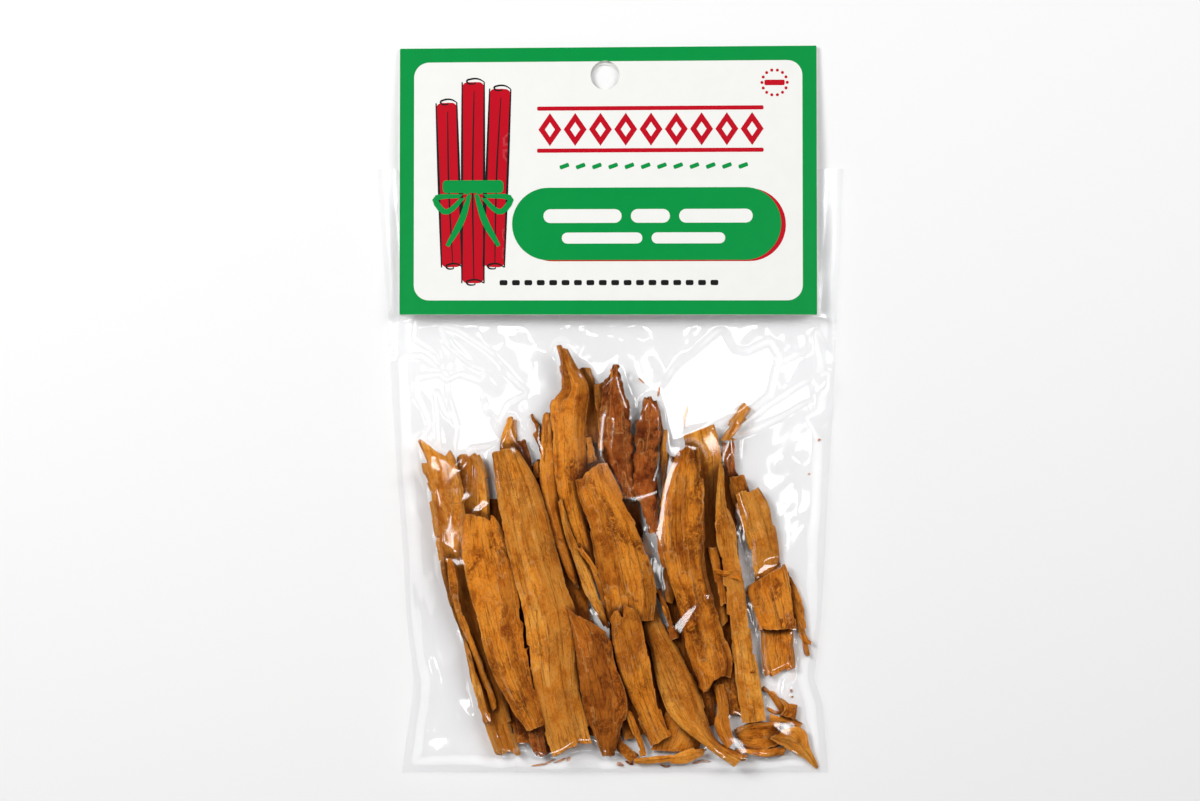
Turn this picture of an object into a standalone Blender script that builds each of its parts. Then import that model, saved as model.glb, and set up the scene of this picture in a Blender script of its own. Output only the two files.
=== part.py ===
"""Hang bag of cinnamon bark: a filled clear bag under a folded header card.

Metres, +Z up. The pack lies on its back on a table: +Z is its front, +Y runs up
to the card's fold, and the origin is the middle of the underside.
"""

import math
from typing import NamedTuple

import bmesh
import bpy
import numpy as np
from mathutils import Matrix, Vector

MM = 0.001

# The whole pack.
PACK_LENGTH = 158.0 * MM
BAG_WIDTH = 101.6 * MM

# The folded card. Its front panel is a little lifted by the bag's neck.
CARD_WIDTH = 90.8 * MM
CARD_HEIGHT = 58.4 * MM
CARD_THICKNESS = 0.4 * MM
CARD_SHIFT_X = -0.4 * MM
CARD_LIFT = 3.2 * MM
FOLD_HEIGHT = 0.9 * MM
FOLD_SKEW = 0.35 * MM
HANG_HOLE_RADIUS = 3.2 * MM
HANG_HOLE_DROP = 6.1 * MM
HANG_HOLE_SHIFT_X = -1.1 * MM

# The bag's film, drawn as the closed body that the two sheets and the bark fill.
NECK_TOP_Y = 52.4 * MM
NECK_BOTTOM_Y = 19.0 * MM
SHEET_UNDER = 0.7 * MM
SHEET_OVER = 1.3 * MM
NECK_SWELL = 1.1 * MM
REST_MARGIN = 7.0 * MM
COLUMNS = 44
ROWS = 60
TAUT_PASSES = 900

PACK_TOP_Y = PACK_LENGTH / 2
HEM_Y = -PACK_LENGTH / 2
CARD_FOOT_Y = PACK_TOP_Y - CARD_HEIGHT

# Half widths of the bag from its mouth down to the hem, (y, left, right): it
# tapers as the bark draws the sheets in, pinches near the bottom and flares.
SIDE_STATIONS = (
    (NECK_TOP_Y, BAG_WIDTH / 2, BAG_WIDTH / 2),
    (21.0 * MM, 48.4 * MM, 49.4 * MM),
    (-14.6 * MM, 46.5 * MM, 47.7 * MM),
    (-45.6 * MM, 44.3 * MM, 45.9 * MM),
    (-58.5 * MM, 42.8 * MM, 44.5 * MM),
    (-66.0 * MM, 43.6 * MM, 46.4 * MM),
    (HEM_Y, 45.3 * MM, 47.5 * MM),
)

# How steeply the front sheet may climb from its rim.
SHEET_SLOPE = 0.75


class Ridge(NamedTuple):
    """A splint that the film is drawn over. All its sizes are in millimetres."""

    head: tuple[float, float]
    foot: tuple[float, float]
    half_width: float
    head_crown: float
    foot_crown: float


RIDGES = (
    Ridge(head=(-38.0, -9.0), foot=(-22.5, -74.0), half_width=5.0, head_crown=6.0, foot_crown=7.0),
    Ridge(head=(-27.5, -23.0), foot=(-15.5, -74.5), half_width=5.5, head_crown=9.0, foot_crown=8.5),
    Ridge(head=(-23.0, -9.0), foot=(-8.5, -74.0), half_width=5.5, head_crown=11.0, foot_crown=10.5),
    Ridge(head=(-9.5, 12.0), foot=(-2.0, -44.0), half_width=4.0, head_crown=8.5, foot_crown=12.5),
    Ridge(head=(-5.0, -12.0), foot=(8.0, -47.0), half_width=5.8, head_crown=12.0, foot_crown=13.0),
    Ridge(head=(1.5, 6.0), foot=(8.0, -28.0), half_width=4.4, head_crown=8.0, foot_crown=9.0),
    Ridge(head=(-6.5, -43.0), foot=(-1.0, -75.0), half_width=4.4, head_crown=13.0, foot_crown=11.0),
    Ridge(head=(3.5, -42.5), foot=(10.0, -73.0), half_width=4.0, head_crown=14.0, foot_crown=11.5),
    Ridge(head=(9.0, -43.0), foot=(28.0, -76.0), half_width=3.8, head_crown=13.0, foot_crown=8.0),
    Ridge(head=(16.5, -7.0), foot=(21.5, -61.0), half_width=5.0, head_crown=12.0, foot_crown=13.0),
    Ridge(head=(24.5, -11.5), foot=(31.5, -68.0), half_width=3.6, head_crown=10.5, foot_crown=11.0),
    Ridge(head=(32.5, -17.5), foot=(38.5, -56.5), half_width=4.8, head_crown=8.5, foot_crown=9.0),
)

SHEET_COLOUR = (0.62, 0.36, 0.14, 1.0)
CARD_COLOUR = (0.02, 0.42, 0.09, 1.0)


def clear_scene():
    """Remove every object that the scene starts with."""
    for obj in list(bpy.data.objects):
        bpy.data.objects.remove(obj)


def add_collection(name):
    """Make a collection under the scene's own."""
    collection = bpy.data.collections.new(name)
    bpy.context.scene.collection.children.link(collection)
    return collection


def make_material(name, colour, roughness):
    """Make a Principled material of one colour."""
    material = bpy.data.materials.new(name)
    material.use_nodes = True
    shader = material.node_tree.nodes["Principled BSDF"]
    shader.inputs["Base Color"].default_value = colour
    shader.inputs["Roughness"].default_value = roughness
    shader.inputs["Metallic"].default_value = 0.0
    return material


def add_object(name, mesh, collection, material=None):
    """Put a mesh in a collection as a named object."""
    obj = bpy.data.objects.new(name, mesh)
    collection.objects.link(obj)
    if material:
        mesh.materials.append(material)
    return obj


def smoothstep(values):
    """Ease from 0 to 1 as values go from 0 to 1."""
    held = np.clip(values, 0.0, 1.0)
    return held * held * (3.0 - 2.0 * held)


def side_at(y, side):
    """Half width of the bag at height y, on the left (side 1) or the right (side 2)."""
    stations = sorted(SIDE_STATIONS)
    heights = [station[0] for station in stations]
    widths = [station[side] for station in stations]
    return np.interp(y, heights, widths)


def sheet_plan():
    """The x and y of each grid point of a sheet, rows running from the hem to the mouth."""
    across = np.linspace(0.0, 1.0, COLUMNS + 1)
    up = np.linspace(HEM_Y, NECK_TOP_Y, ROWS + 1)
    y = np.repeat(up[:, None], COLUMNS + 1, axis=1)
    left, right = -side_at(up, 1), side_at(up, 2)
    x = left[:, None] + (right - left)[:, None] * across[None, :]
    return x, y


def bark_height(x, y):
    """Height of the bark pile: the highest of the rounded ridges over each point."""
    pile = np.zeros_like(x)
    for ridge in RIDGES:
        head_x, head_y = ridge.head
        run_x, run_y = ridge.foot[0] - head_x, ridge.foot[1] - head_y
        from_head_x, from_head_y = x / MM - head_x, y / MM - head_y
        along = (from_head_x * run_x + from_head_y * run_y) / (run_x**2 + run_y**2)
        share = np.clip(along, 0.0, 1.0)
        away = np.hypot(from_head_x - share * run_x, from_head_y - share * run_y)
        crown = ridge.head_crown + (ridge.foot_crown - ridge.head_crown) * share
        rounding = 1.0 - (away / ridge.half_width) ** 2
        ridge_height = np.where(rounding > 0, crown * (0.6 + 0.4 * rounding) * MM, 0.0)
        pile = np.maximum(pile, ridge_height)
    return pile


def inside_rim(x, y, top):
    """How far each point is from the bag's sides, its hem and a line across it at height top."""
    to_side = np.minimum(x + side_at(y, 1), side_at(y, 2) - x)
    to_end = np.minimum(y - HEM_Y, top - y)
    return np.minimum(to_side, to_end)


def front_height(x, y):
    """Height of the front sheet: pulled taut from the rim over the bark pile."""
    in_neck = y > NECK_BOTTOM_Y
    up_neck = smoothstep((y - NECK_BOTTOM_Y) / (NECK_TOP_Y - NECK_BOTTOM_Y))
    across = np.clip(np.abs(x) / side_at(y, 1), 0.0, 1.0)
    neck = SHEET_OVER + NECK_SWELL * (1.0 - up_neck) * (1.0 - across**4)
    most = SHEET_OVER + SHEET_SLOPE * inside_rim(x, y, NECK_TOP_Y)
    pile = np.minimum(bark_height(x, y), most)
    height = np.maximum(pile, SHEET_OVER)
    for _ in range(TAUT_PASSES):
        height[in_neck] = neck[in_neck]
        beside = height[1:-1, 2:] + height[1:-1, :-2]
        along = height[2:, 1:-1] + height[:-2, 1:-1]
        height[1:-1, 1:-1] = np.maximum((beside + along) / 4, pile[1:-1, 1:-1])
    return height


def back_height(x, y):
    """Height of the back sheet: flat on the table, and lifted a little towards the rim."""
    inside = inside_rim(x, y, NECK_BOTTOM_Y) / REST_MARGIN
    return SHEET_UNDER * (1.0 - smoothstep(inside))


def lay_sheet(bm, x, y, z):
    """Add one sheet as a grid whose points take the given places, and return its rim edges."""
    made = bmesh.ops.create_grid(bm, x_segments=COLUMNS, y_segments=ROWS, size=1.0)
    for vertex in made["verts"]:
        column = round((vertex.co.x + 1.0) / 2.0 * COLUMNS)
        row = round((vertex.co.y + 1.0) / 2.0 * ROWS)
        vertex.co = Vector((x[row, column], y[row, column], z[row, column]))
    edges = {edge for vertex in made["verts"] for edge in vertex.link_edges}
    return [edge for edge in edges if edge.is_boundary]


def make_bag(collection, material):
    """The filled bag: a front and a back sheet, joined all round by a narrow rim."""
    x, y = sheet_plan()
    bm = bmesh.new()
    front_rim = lay_sheet(bm, x, y, front_height(x, y))
    back_rim = lay_sheet(bm, x, y, back_height(x, y))
    bmesh.ops.bridge_loops(bm, edges=front_rim + back_rim)
    bmesh.ops.recalc_face_normals(bm, faces=bm.faces)
    mesh = bpy.data.meshes.new("filled_bag")
    bm.to_mesh(mesh)
    bm.free()
    mesh.shade_smooth()
    return add_object("filled_bag", mesh, collection, material)


def card_profile():
    """Side view of the folded card's middle, as (y, z): up the back panel, over the fold, down the front."""
    back_z = CARD_THICKNESS / 2
    fold_radius = (FOLD_HEIGHT - back_z) / 2
    fold_y = PACK_TOP_Y - FOLD_SKEW - fold_radius - CARD_THICKNESS / 2
    profile = [(CARD_FOOT_Y, back_z)]
    turns = 6
    for step in range(turns + 1):
        angle = -math.pi / 2 + math.pi * step / turns
        profile.append(
            (
                fold_y + fold_radius * math.cos(angle),
                back_z + fold_radius * (1.0 + math.sin(angle)),
            )
        )
    profile.append((CARD_FOOT_Y, CARD_LIFT))
    return profile


def make_card(collection, cutters, material):
    """The header card: one board folded over the bag's mouth, punched for a hook."""
    bm = bmesh.new()
    left = CARD_SHIFT_X - CARD_WIDTH / 2
    line = [bm.verts.new((left, y, z)) for y, z in card_profile()]
    edges = [bm.edges.new(pair) for pair in zip(line, line[1:])]
    swept = bmesh.ops.extrude_edge_only(bm, edges=edges)["geom"]
    far_side = [item for item in swept if isinstance(item, bmesh.types.BMVert)]
    bmesh.ops.translate(bm, vec=(CARD_WIDTH, 0, 0), verts=far_side)
    for vertex in bm.verts:
        up_card = (vertex.co.y - CARD_FOOT_Y) / CARD_HEIGHT
        vertex.co.y += FOLD_SKEW * up_card * (2 * (vertex.co.x - left) / CARD_WIDTH - 1.0)
    bmesh.ops.recalc_face_normals(bm, faces=bm.faces)
    mesh = bpy.data.meshes.new("header_card")
    bm.to_mesh(mesh)
    bm.free()
    card = add_object("header_card", mesh, collection, material)
    board = card.modifiers.new("board", "SOLIDIFY")
    board.thickness = CARD_THICKNESS
    board.offset = 0.0
    board.use_even_offset = True
    punch = card.modifiers.new("hang hole", "BOOLEAN")
    punch.operation = "DIFFERENCE"
    punch.solver = "EXACT"
    punch.object = make_hole_cutter(cutters)
    return card


def make_hole_cutter(collection):
    """A drill through both panels of the card."""
    bm = bmesh.new()
    bmesh.ops.create_cone(
        bm,
        cap_ends=True,
        segments=40,
        radius1=HANG_HOLE_RADIUS,
        radius2=HANG_HOLE_RADIUS,
        depth=4 * CARD_LIFT,
    )
    mesh = bpy.data.meshes.new("hang_hole_cutter")
    bm.to_mesh(mesh)
    bm.free()
    cutter = add_object("hang_hole_cutter", mesh, collection)
    centre = Vector((HANG_HOLE_SHIFT_X, PACK_TOP_Y - HANG_HOLE_DROP, 0.0))
    cutter.matrix_world = Matrix.Translation(centre)
    cutter.hide_render = True
    cutter.display_type = "WIRE"
    return cutter


def main():
    """Build the pack."""
    clear_scene()
    pack = add_collection("cinnamon_hang_bag")
    cutters = add_collection("cutters")
    make_bag(pack, make_material("clear_film_over_bark", SHEET_COLOUR, 0.25))
    make_card(pack, cutters, make_material("printed_card", CARD_COLOUR, 0.5))


main()
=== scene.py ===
"""Finish of a hang bag of cinnamon bark: splints, clear film and folded header card.

The pack lies on its back, +Z out of its front and +Y up to the card's fold. Lengths in
the classes are millimetres, as the pack is measured; meshes and lights are in metres.
"""

import logging
import math
from dataclasses import dataclass
from enum import Enum

import bpy
import numpy as np
from mathutils import Euler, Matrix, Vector
from mathutils.bvhtree import BVHTree
from mathutils.geometry import delaunay_2d_cdt


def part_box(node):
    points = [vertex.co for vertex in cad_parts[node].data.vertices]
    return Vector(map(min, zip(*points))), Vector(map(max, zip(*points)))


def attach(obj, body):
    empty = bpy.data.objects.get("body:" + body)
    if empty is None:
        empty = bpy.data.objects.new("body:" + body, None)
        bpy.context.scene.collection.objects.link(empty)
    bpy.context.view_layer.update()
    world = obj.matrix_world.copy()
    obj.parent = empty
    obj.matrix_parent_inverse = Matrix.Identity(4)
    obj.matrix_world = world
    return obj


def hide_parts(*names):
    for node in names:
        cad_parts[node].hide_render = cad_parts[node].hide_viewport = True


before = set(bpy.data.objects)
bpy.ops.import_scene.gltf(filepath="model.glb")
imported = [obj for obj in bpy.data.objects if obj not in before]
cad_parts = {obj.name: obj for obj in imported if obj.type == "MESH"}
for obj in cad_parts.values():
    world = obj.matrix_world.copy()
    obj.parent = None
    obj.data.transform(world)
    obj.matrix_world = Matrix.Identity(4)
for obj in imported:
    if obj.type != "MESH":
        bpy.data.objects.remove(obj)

Array = np.ndarray
Point = tuple[float, float]
Line = tuple[Point, ...]
Run = tuple[float, ...]
Colour = tuple[float, float, float]
Socket = bpy.types.NodeSocket
Material = bpy.types.Material
Object = bpy.types.Object

LOG = logging.getLogger("hang_bag")
MM = 0.001
PILE_CELL = 0.4


def smoothstep(values: Array) -> Array:
    """Ease from 0 to 1 as the values go from 0 to 1.

    Args:
        values: Any numbers; those outside 0 to 1 are held.

    Returns:
        The eased numbers.
    """
    held = np.clip(values, 0.0, 1.0)
    return held * held * (3.0 - 2.0 * held)


def along_curve(points: Line, shares: Array) -> Array:
    """Places on a smooth curve through the points.

    Args:
        points: The points that the curve passes, in order.
        shares: How far along the curve each place is, from 0 to 1.

    Returns:
        An array of (x, y) rows, one for each share.
    """
    knots = np.array(points, float)
    runs = np.hypot(*np.diff(knots, axis=0).T)
    marks = np.concatenate([[0.0], np.cumsum(runs)]) / runs.sum()
    slopes = np.gradient(knots, marks, axis=0)
    spot = np.clip(np.searchsorted(marks, shares, side="right") - 1, 0, len(runs) - 1)
    gap = (marks[spot + 1] - marks[spot])[:, None]
    t = ((shares - marks[spot])[:, None]) / gap
    start, end = knots[spot], knots[spot + 1]
    lean_out, lean_in = slopes[spot] * gap, slopes[spot + 1] * gap
    return (
        start * (2 * t**3 - 3 * t**2 + 1)
        + lean_out * (t**3 - 2 * t**2 + t)
        + end * (3 * t**2 - 2 * t**3)
        + lean_in * (t**3 - t**2)
    )


def far_from_line(x: Array, y: Array, line: Line) -> tuple[Array, Array]:
    """Distance of many places from a line of straight runs.

    Args:
        x: The places' x.
        y: The places' y.
        line: The line's points.

    Returns:
        The distances, and the share of the line's length at each nearest point.
    """
    nearest = np.full(x.shape, np.inf)
    share = np.zeros(x.shape)
    runs = [math.dist(a, b) for a, b in zip(line, line[1:])]
    passed = 0.0
    for (ax, ay), (bx, by), run in zip(line, line[1:], runs):
        along = ((x - ax) * (bx - ax) + (y - ay) * (by - ay)) / run**2
        held = np.clip(along, 0.0, 1.0)
        away = np.hypot(x - ax - held * (bx - ax), y - ay - held * (by - ay))
        closer = away < nearest
        nearest = np.where(closer, away, nearest)
        share = np.where(closer, (passed + held * run) / sum(runs), share)
        passed += run
    return nearest, share


def inside_loop(x: Array, y: Array, loop: Line) -> Array:
    """Tell which places lie inside a closed outline.

    Args:
        x: The places' x.
        y: The places' y.
        loop: The outline's corners, in order.

    Returns:
        An array of booleans.
    """
    inside = np.zeros(x.shape, bool)
    for (ax, ay), (bx, by) in zip(loop, loop[1:] + loop[:1]):
        if ay == by:
            continue
        crosses = (ay > y) != (by > y)
        inside ^= crosses & (x < ax + (y - ay) / (by - ay) * (bx - ax))
    return inside


def pairs(run: Run) -> Line:
    """Read a flat run of numbers as points, x and y in turn."""
    return tuple(zip(run[::2], run[1::2]))


class Grain:
    """Smooth noise from -1 to 1 on a fixed random lattice."""

    SIDE = 64

    def __init__(self, seed: int) -> None:
        """Draw the lattice.

        Args:
            seed: Picks one lattice out of many.
        """
        draw = np.random.default_rng(seed)
        self.lattice = draw.uniform(-1.0, 1.0, (self.SIDE, self.SIDE))

    def at(self, a: Array, b: Array) -> Array:
        """Noise at many places.

        Args:
            a: First coordinate; one lattice step is 1.
            b: Second coordinate.

        Returns:
            The noise at each place.
        """
        row, column = np.floor(a).astype(int), np.floor(b).astype(int)
        down, right = smoothstep(a - row), smoothstep(b - column)
        row, column = row % self.SIDE, column % self.SIDE
        row_next, column_next = (row + 1) % self.SIDE, (column + 1) % self.SIDE
        lattice = self.lattice
        near = lattice[row, column] * (1 - right) + lattice[row, column_next] * right
        far = lattice[row_next, column] * (1 - right) + lattice[row_next, column_next] * right
        return near * (1 - down) + far * down

    def rough(self, a: Array, b: Array, octaves: int = 3) -> Array:
        """Noise with finer noise on it.

        Args:
            a: First coordinate.
            b: Second coordinate.
            octaves: How many scales are added, each half the size of the last.

        Returns:
            The noise at each place, about -1 to 1.
        """
        total, weight = np.zeros(np.broadcast(a, b).shape), 1.0
        for octave in range(octaves):
            total = total + weight * self.at(a * 2**octave + 17 * octave, b * 2**octave + 5 * octave)
            weight /= 2
        return total / 1.6


def make_object(name: str, points: Array, faces: Array, material: Material,
                smooth: bool = True) -> Object:
    """Turn arrays into a mesh object in the scene.

    Args:
        name: The piece's name.
        points: Rows of x, y and z in millimetres.
        faces: Rows of three or four point numbers.
        material: What the piece is made of.
        smooth: Whether its faces are shaded as one smooth surface.

    Returns:
        The new object.
    """
    mesh = bpy.data.meshes.new(name)
    mesh.from_pydata((np.asarray(points, float) * MM).tolist(), [], np.asarray(faces).tolist())
    mesh.materials.append(material)
    if smooth:
        mesh.shade_smooth()
    obj = bpy.data.objects.new(name, mesh)
    bpy.context.scene.collection.objects.link(obj)
    return obj


def grid_faces(rows: int, columns: int, first: int = 0) -> Array:
    """Quads of a grid of points that is stored row by row.

    Args:
        rows: How many rows of points.
        columns: How many points in a row.
        first: The number of the grid's first point.

    Returns:
        Rows of four point numbers.
    """
    corner = (np.arange(rows - 1)[:, None] * columns + np.arange(columns - 1)[None, :]).ravel() + first
    return np.stack([corner, corner + 1, corner + columns + 1, corner + columns], axis=1)


def grid_rim(rows: int, columns: int) -> Array:
    """Point numbers round the outside of a grid, in order.

    Args:
        rows: How many rows of points.
        columns: How many points in a row.

    Returns:
        The point numbers of the rim.
    """
    number = np.arange(rows * columns).reshape(rows, columns)
    return np.concatenate([number[0, :-1], number[:-1, -1], number[-1, :0:-1], number[:0:-1, 0]])


class Wiring:
    """Adds nodes to one material and links them."""

    def __init__(self, name: str) -> None:
        """Start an empty material.

        Args:
            name: The material's name.
        """
        self.material = bpy.data.materials.new(name)
        self.material.use_nodes = True
        self.tree = self.material.node_tree
        self.tree.nodes.clear()
        self.output = self.tree.nodes.new("ShaderNodeOutputMaterial")

    def feed(self, socket: Socket, value: object) -> None:
        """Fill a socket.

        Args:
            socket: The node's input.
            value: A socket to link, or a plain number, vector or colour.
        """
        if isinstance(value, Socket):
            self.tree.links.new(value, socket)
        elif socket.type == "RGBA":
            socket.default_value = (*value, 1.0)
        else:
            socket.default_value = value

    def add(self, kind: str, *inputs: object, modes: dict[str, str] | None = None,
            **named: object) -> bpy.types.Node:
        """Add a node.

        Args:
            kind: The node's type, without the leading ShaderNode.
            inputs: What its first sockets are fed.
            modes: Settings of the node that aren't sockets.
            named: What further sockets are fed, by name with underscores for spaces.

        Returns:
            The new node.
        """
        node = self.tree.nodes.new("ShaderNode" + kind)
        for name, mode in (modes or {}).items():
            setattr(node, name, mode)
        for socket, value in zip(node.inputs, inputs):
            self.feed(socket, value)
        for name, value in named.items():
            self.feed(node.inputs[name.replace("_", " ")], value)
        return node

    def attribute(self, name: str, output: str = "Fac") -> Socket:
        """Read one of the mesh's own attributes."""
        return self.add("Attribute", modes={"attribute_name": name}).outputs[output]

    def maths(self, operation: str, *values: object) -> Socket:
        """Combine values with one of Blender's math operations."""
        return self.add("Math", *values, modes={"operation": operation}).outputs[0]

    def times(self, a: object, b: object) -> Socket:
        """Multiply two values."""
        return self.maths("MULTIPLY", a, b)

    def noise(self, vector: Socket, scale: Colour, detail: float, distortion: float = 0.0,
              roughness: float = 0.55) -> Socket:
        """Add a noise texture.

        Args:
            vector: Where the texture is read.
            scale: How many blobs to one unit along each axis.
            detail: How many finer scales are added.
            distortion: How much the blobs curl.
            roughness: How strong the finer scales are.

        Returns:
            The noise, 0 to 1.
        """
        spot = self.add("VectorMath", vector, scale, modes={"operation": "MULTIPLY"}).outputs[0]
        return self.add("TexNoise", Vector=spot, Scale=1.0, Detail=detail, Roughness=roughness,
                        Distortion=distortion).outputs["Fac"]

    def band(self, value: Socket, low: float, high: float, top: float = 1.0) -> Socket:
        """Spread the stretch of a value between low and high to 0 to top, eased and held.

        Args:
            value: What is spread.
            low: What becomes 0; above high, the scale is turned round.
            high: What becomes top.
            top: The most that comes out.

        Returns:
            The spread value.
        """
        first, last = (top, 0.0) if low > high else (0.0, top)
        node = self.add("MapRange", modes={"interpolation_type": "SMOOTHSTEP"}, Value=value,
                        From_Min=min(low, high), From_Max=max(low, high), To_Min=first, To_Max=last)
        return node.outputs["Result"]

    def near(self, value: Socket, level: float, far: float, close: float, top: float = 1.0) -> Socket:
        """Band that is top where a value is within close of a level, and 0 from far away from it."""
        return self.band(self.maths("ABSOLUTE", self.maths("SUBTRACT", value, level)), far, close, top)

    def blend(self, share: object, under: object, over: object) -> Socket:
        """Lay one colour over another.

        Args:
            share: How much of the upper colour shows, 0 to 1.
            under: The lower colour.
            over: The upper colour.

        Returns:
            The blended colour.
        """
        node = self.add("Mix", share, modes={"data_type": "RGBA"})
        lower, upper = (socket for socket in node.inputs if socket.type == "RGBA")
        self.feed(lower, under)
        self.feed(upper, over)
        return next(socket for socket in node.outputs if socket.type == "RGBA")

    def satin(self, colour: Socket, roughness: float, gloss: float, height: Socket, strength: float,
              depth: float) -> Material:
        """Finish the material as a dull surface with a fine relief.

        Args:
            colour: Its colour.
            roughness: How dull it is.
            gloss: How strongly it mirrors, 0.5 being usual.
            height: The relief, 0 to 1.
            strength: How much of the relief counts.
            depth: How high 1 of the relief is, in metres.

        Returns:
            The material.
        """
        bent = self.add("Bump", Strength=strength, Distance=depth, Height=height).outputs["Normal"]
        return self.finished(self.add("BsdfPrincipled", Base_Color=colour, Roughness=roughness,
                                      Specular_IOR_Level=gloss, Normal=bent))

    def finished(self, shader: bpy.types.Node) -> Material:
        """Use the shader as the material's surface and return the material."""
        self.tree.links.new(shader.outputs[0], self.output.inputs["Surface"])
        return self.material


@dataclass(frozen=True)
class BarkFinish:
    """Dry cinnamon bark: fibres along the splint, blotches, specks, pale torn rims, and painted shade deep in
    the pile.

    The mesh says where each point lies on its splint: grain holds millimetres across and
    along and a number of the splint's own, rim is 1 on torn edges, skin is 1 where the
    outermost layer is left, and a fourth attribute, 1 deep in the pile, holds painted shade: the bark is
    painted darker where nearby bark hides the sky.

    Attributes:
        name: The material's name.
        body: The bark's main colour.
        light: Its lighter clouds.
        dark: Its darker clouds, grooves and specks.
        blotches: How strong the dark blotches are.
        fuzz: How strong the pale fuzz is.
        coarse: How far the blotches stand up.
    """

    name: str
    body: Colour
    light: Colour
    dark: Colour
    blotches: float = 0.9
    fuzz: float = 0.4
    coarse: float = 0.3

    PALE = (0.85, 0.46, 0.16)

    def material(self) -> Material:
        """Make the bark's material.

        Returns:
            The material.
        """
        wiring = Wiring(self.name)
        grain = wiring.attribute("grain", "Vector")
        rim, skin, painted_shade = (wiring.attribute(name) for name in ("rim", "skin", "painted_shade"))
        fibre = wiring.noise(grain, (3.0, 0.3, 1.0), 6.0, 0.4, 0.65)
        grit = wiring.noise(grain, (2.8, 1.6, 2.0), 6.0, 0.7, 0.75)
        streak = wiring.noise(grain, (0.75, 0.06, 1.0), 5.0, 0.8, 0.65)
        cloud = wiring.noise(grain, (0.34, 0.2, 1.0), 7.0, 0.4, 0.72)
        patch = wiring.noise(grain, (0.13, 0.085, 3.0), 4.0, 0.8)
        speck = wiring.noise(grain, (1.9, 1.5, 2.0), 4.0, 0.6, 0.65)
        curl = wiring.noise(grain, (0.9, 0.7, 5.0), 7.0, 1.3, 0.78)
        crack = wiring.near(wiring.noise(grain, (0.8, 0.03, 4.0), 4.0, 0.3, 0.6), 0.5, 0.014, 0.0)
        blotch = wiring.times(wiring.band(patch, 0.47, 0.6, self.blotches), wiring.band(curl, 0.4, 0.56))
        fuzzy = wiring.times(wiring.band(patch, 0.46, 0.36, self.fuzz), wiring.band(curl, 0.5, 0.62))
        layers = (
            (wiring.band(cloud, 0.4, 0.6), self.light),
            (wiring.band(cloud, 0.47, 0.34, 0.5), self.dark),
            (wiring.band(fibre, 0.54, 0.34, 0.25), self.dark),
            (wiring.band(grit, 0.48, 0.32, 0.6), self.dark),
            (wiring.band(grit, 0.54, 0.68, 0.5), self.light),
            (wiring.band(streak, 0.55, 0.75, 0.3), self.dark),
            (blotch, self.dark),
            (fuzzy, self.PALE),
            (wiring.band(speck, 0.62, 0.7, 0.7), self.dark),
            (wiring.times(crack, 0.5), self.dark),
            (wiring.times(skin, 0.34), self.dark),
            (wiring.near(skin, 0.6, 0.3, 0.05, 0.32), self.PALE),
            (wiring.times(rim, wiring.band(curl, 0.46, 0.62, 0.7)), self.PALE),
            # painted shade: bark deep in the pile is darkened towards a deeper brown, where nearby bark would
            # shade it
            (wiring.band(painted_shade, 0.1, 0.9, 0.82), tuple(0.45 * channel for channel in self.dark)),
        )
        colour = self.body
        for share, over in layers:
            colour = wiring.blend(share, colour, over)
        height = wiring.maths("MULTIPLY_ADD", fibre, 0.7, wiring.times(curl, self.coarse))
        height = wiring.maths("MULTIPLY_ADD", grit, 0.6, height)
        height = wiring.maths("MULTIPLY_ADD", crack, -0.6, height)
        return wiring.satin(colour, 0.75, 0.16, height, 0.85, 0.0005)


class Tone(Enum):
    """The kinds of bark in the bag; UMBER's darker colour on shaded_foot_left, dark_blade and chip_by_blade
    is painted shade, as those pieces lie in shade.
    """

    HONEY = BarkFinish("bark_honey", (0.88, 0.305, 0.025), (0.97, 0.43, 0.065), (0.31, 0.068, 0.004),
                       blotches=0.5)
    AMBER = BarkFinish("bark_amber", (0.76, 0.226, 0.013), (0.91, 0.33, 0.032), (0.22, 0.044, 0.003))
    UMBER = BarkFinish("bark_umber", (0.54, 0.140, 0.010), (0.71, 0.22, 0.021), (0.13, 0.026, 0.002))
    RUSSET = BarkFinish("bark_russet", (0.40, 0.080, 0.009), (0.58, 0.16, 0.028), (0.07, 0.012, 0.003),
                        fuzz=0.55, coarse=1.4)


@dataclass(frozen=True)
class FilmFinish:
    """Thin clear film: what is behind it shows straight through, and its face mirrors.

    Attributes:
        name: The material's name.
        clear: How much light one sheet lets through.
        mirror: How much a sheet mirrors when seen square on.
        grazing: How much more it mirrors when seen edge on.
        falloff: How fast that fades towards square on.
        sheen: How bright the mirrored light is, as both faces of the sheet mirror.
        roughness: How soft it is.
    """

    name: str = "clear_film"
    clear: Colour = (0.976, 0.977, 0.980)
    mirror: float = 0.03
    grazing: float = 0.45
    falloff: float = 5.0
    sheen: float = 2.7
    roughness: float = 0.2

    def material(self) -> Material:
        """Make the film's material.

        Returns:
            The material.
        """
        wiring = Wiring(self.name)
        through = wiring.add("BsdfTransparent", Color=self.clear)
        mirror = wiring.add("BsdfAnisotropic", modes={"distribution": "BECKMANN"},
                            Color=(self.sheen,) * 3, Roughness=self.roughness)
        aside = wiring.maths("POWER", wiring.add("LayerWeight", 0.5).outputs["Facing"], self.falloff)
        share = wiring.maths("MULTIPLY_ADD", aside, self.grazing, self.mirror)
        return wiring.finished(wiring.add("MixShader", share, through.outputs[0], mirror.outputs[0]))


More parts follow.
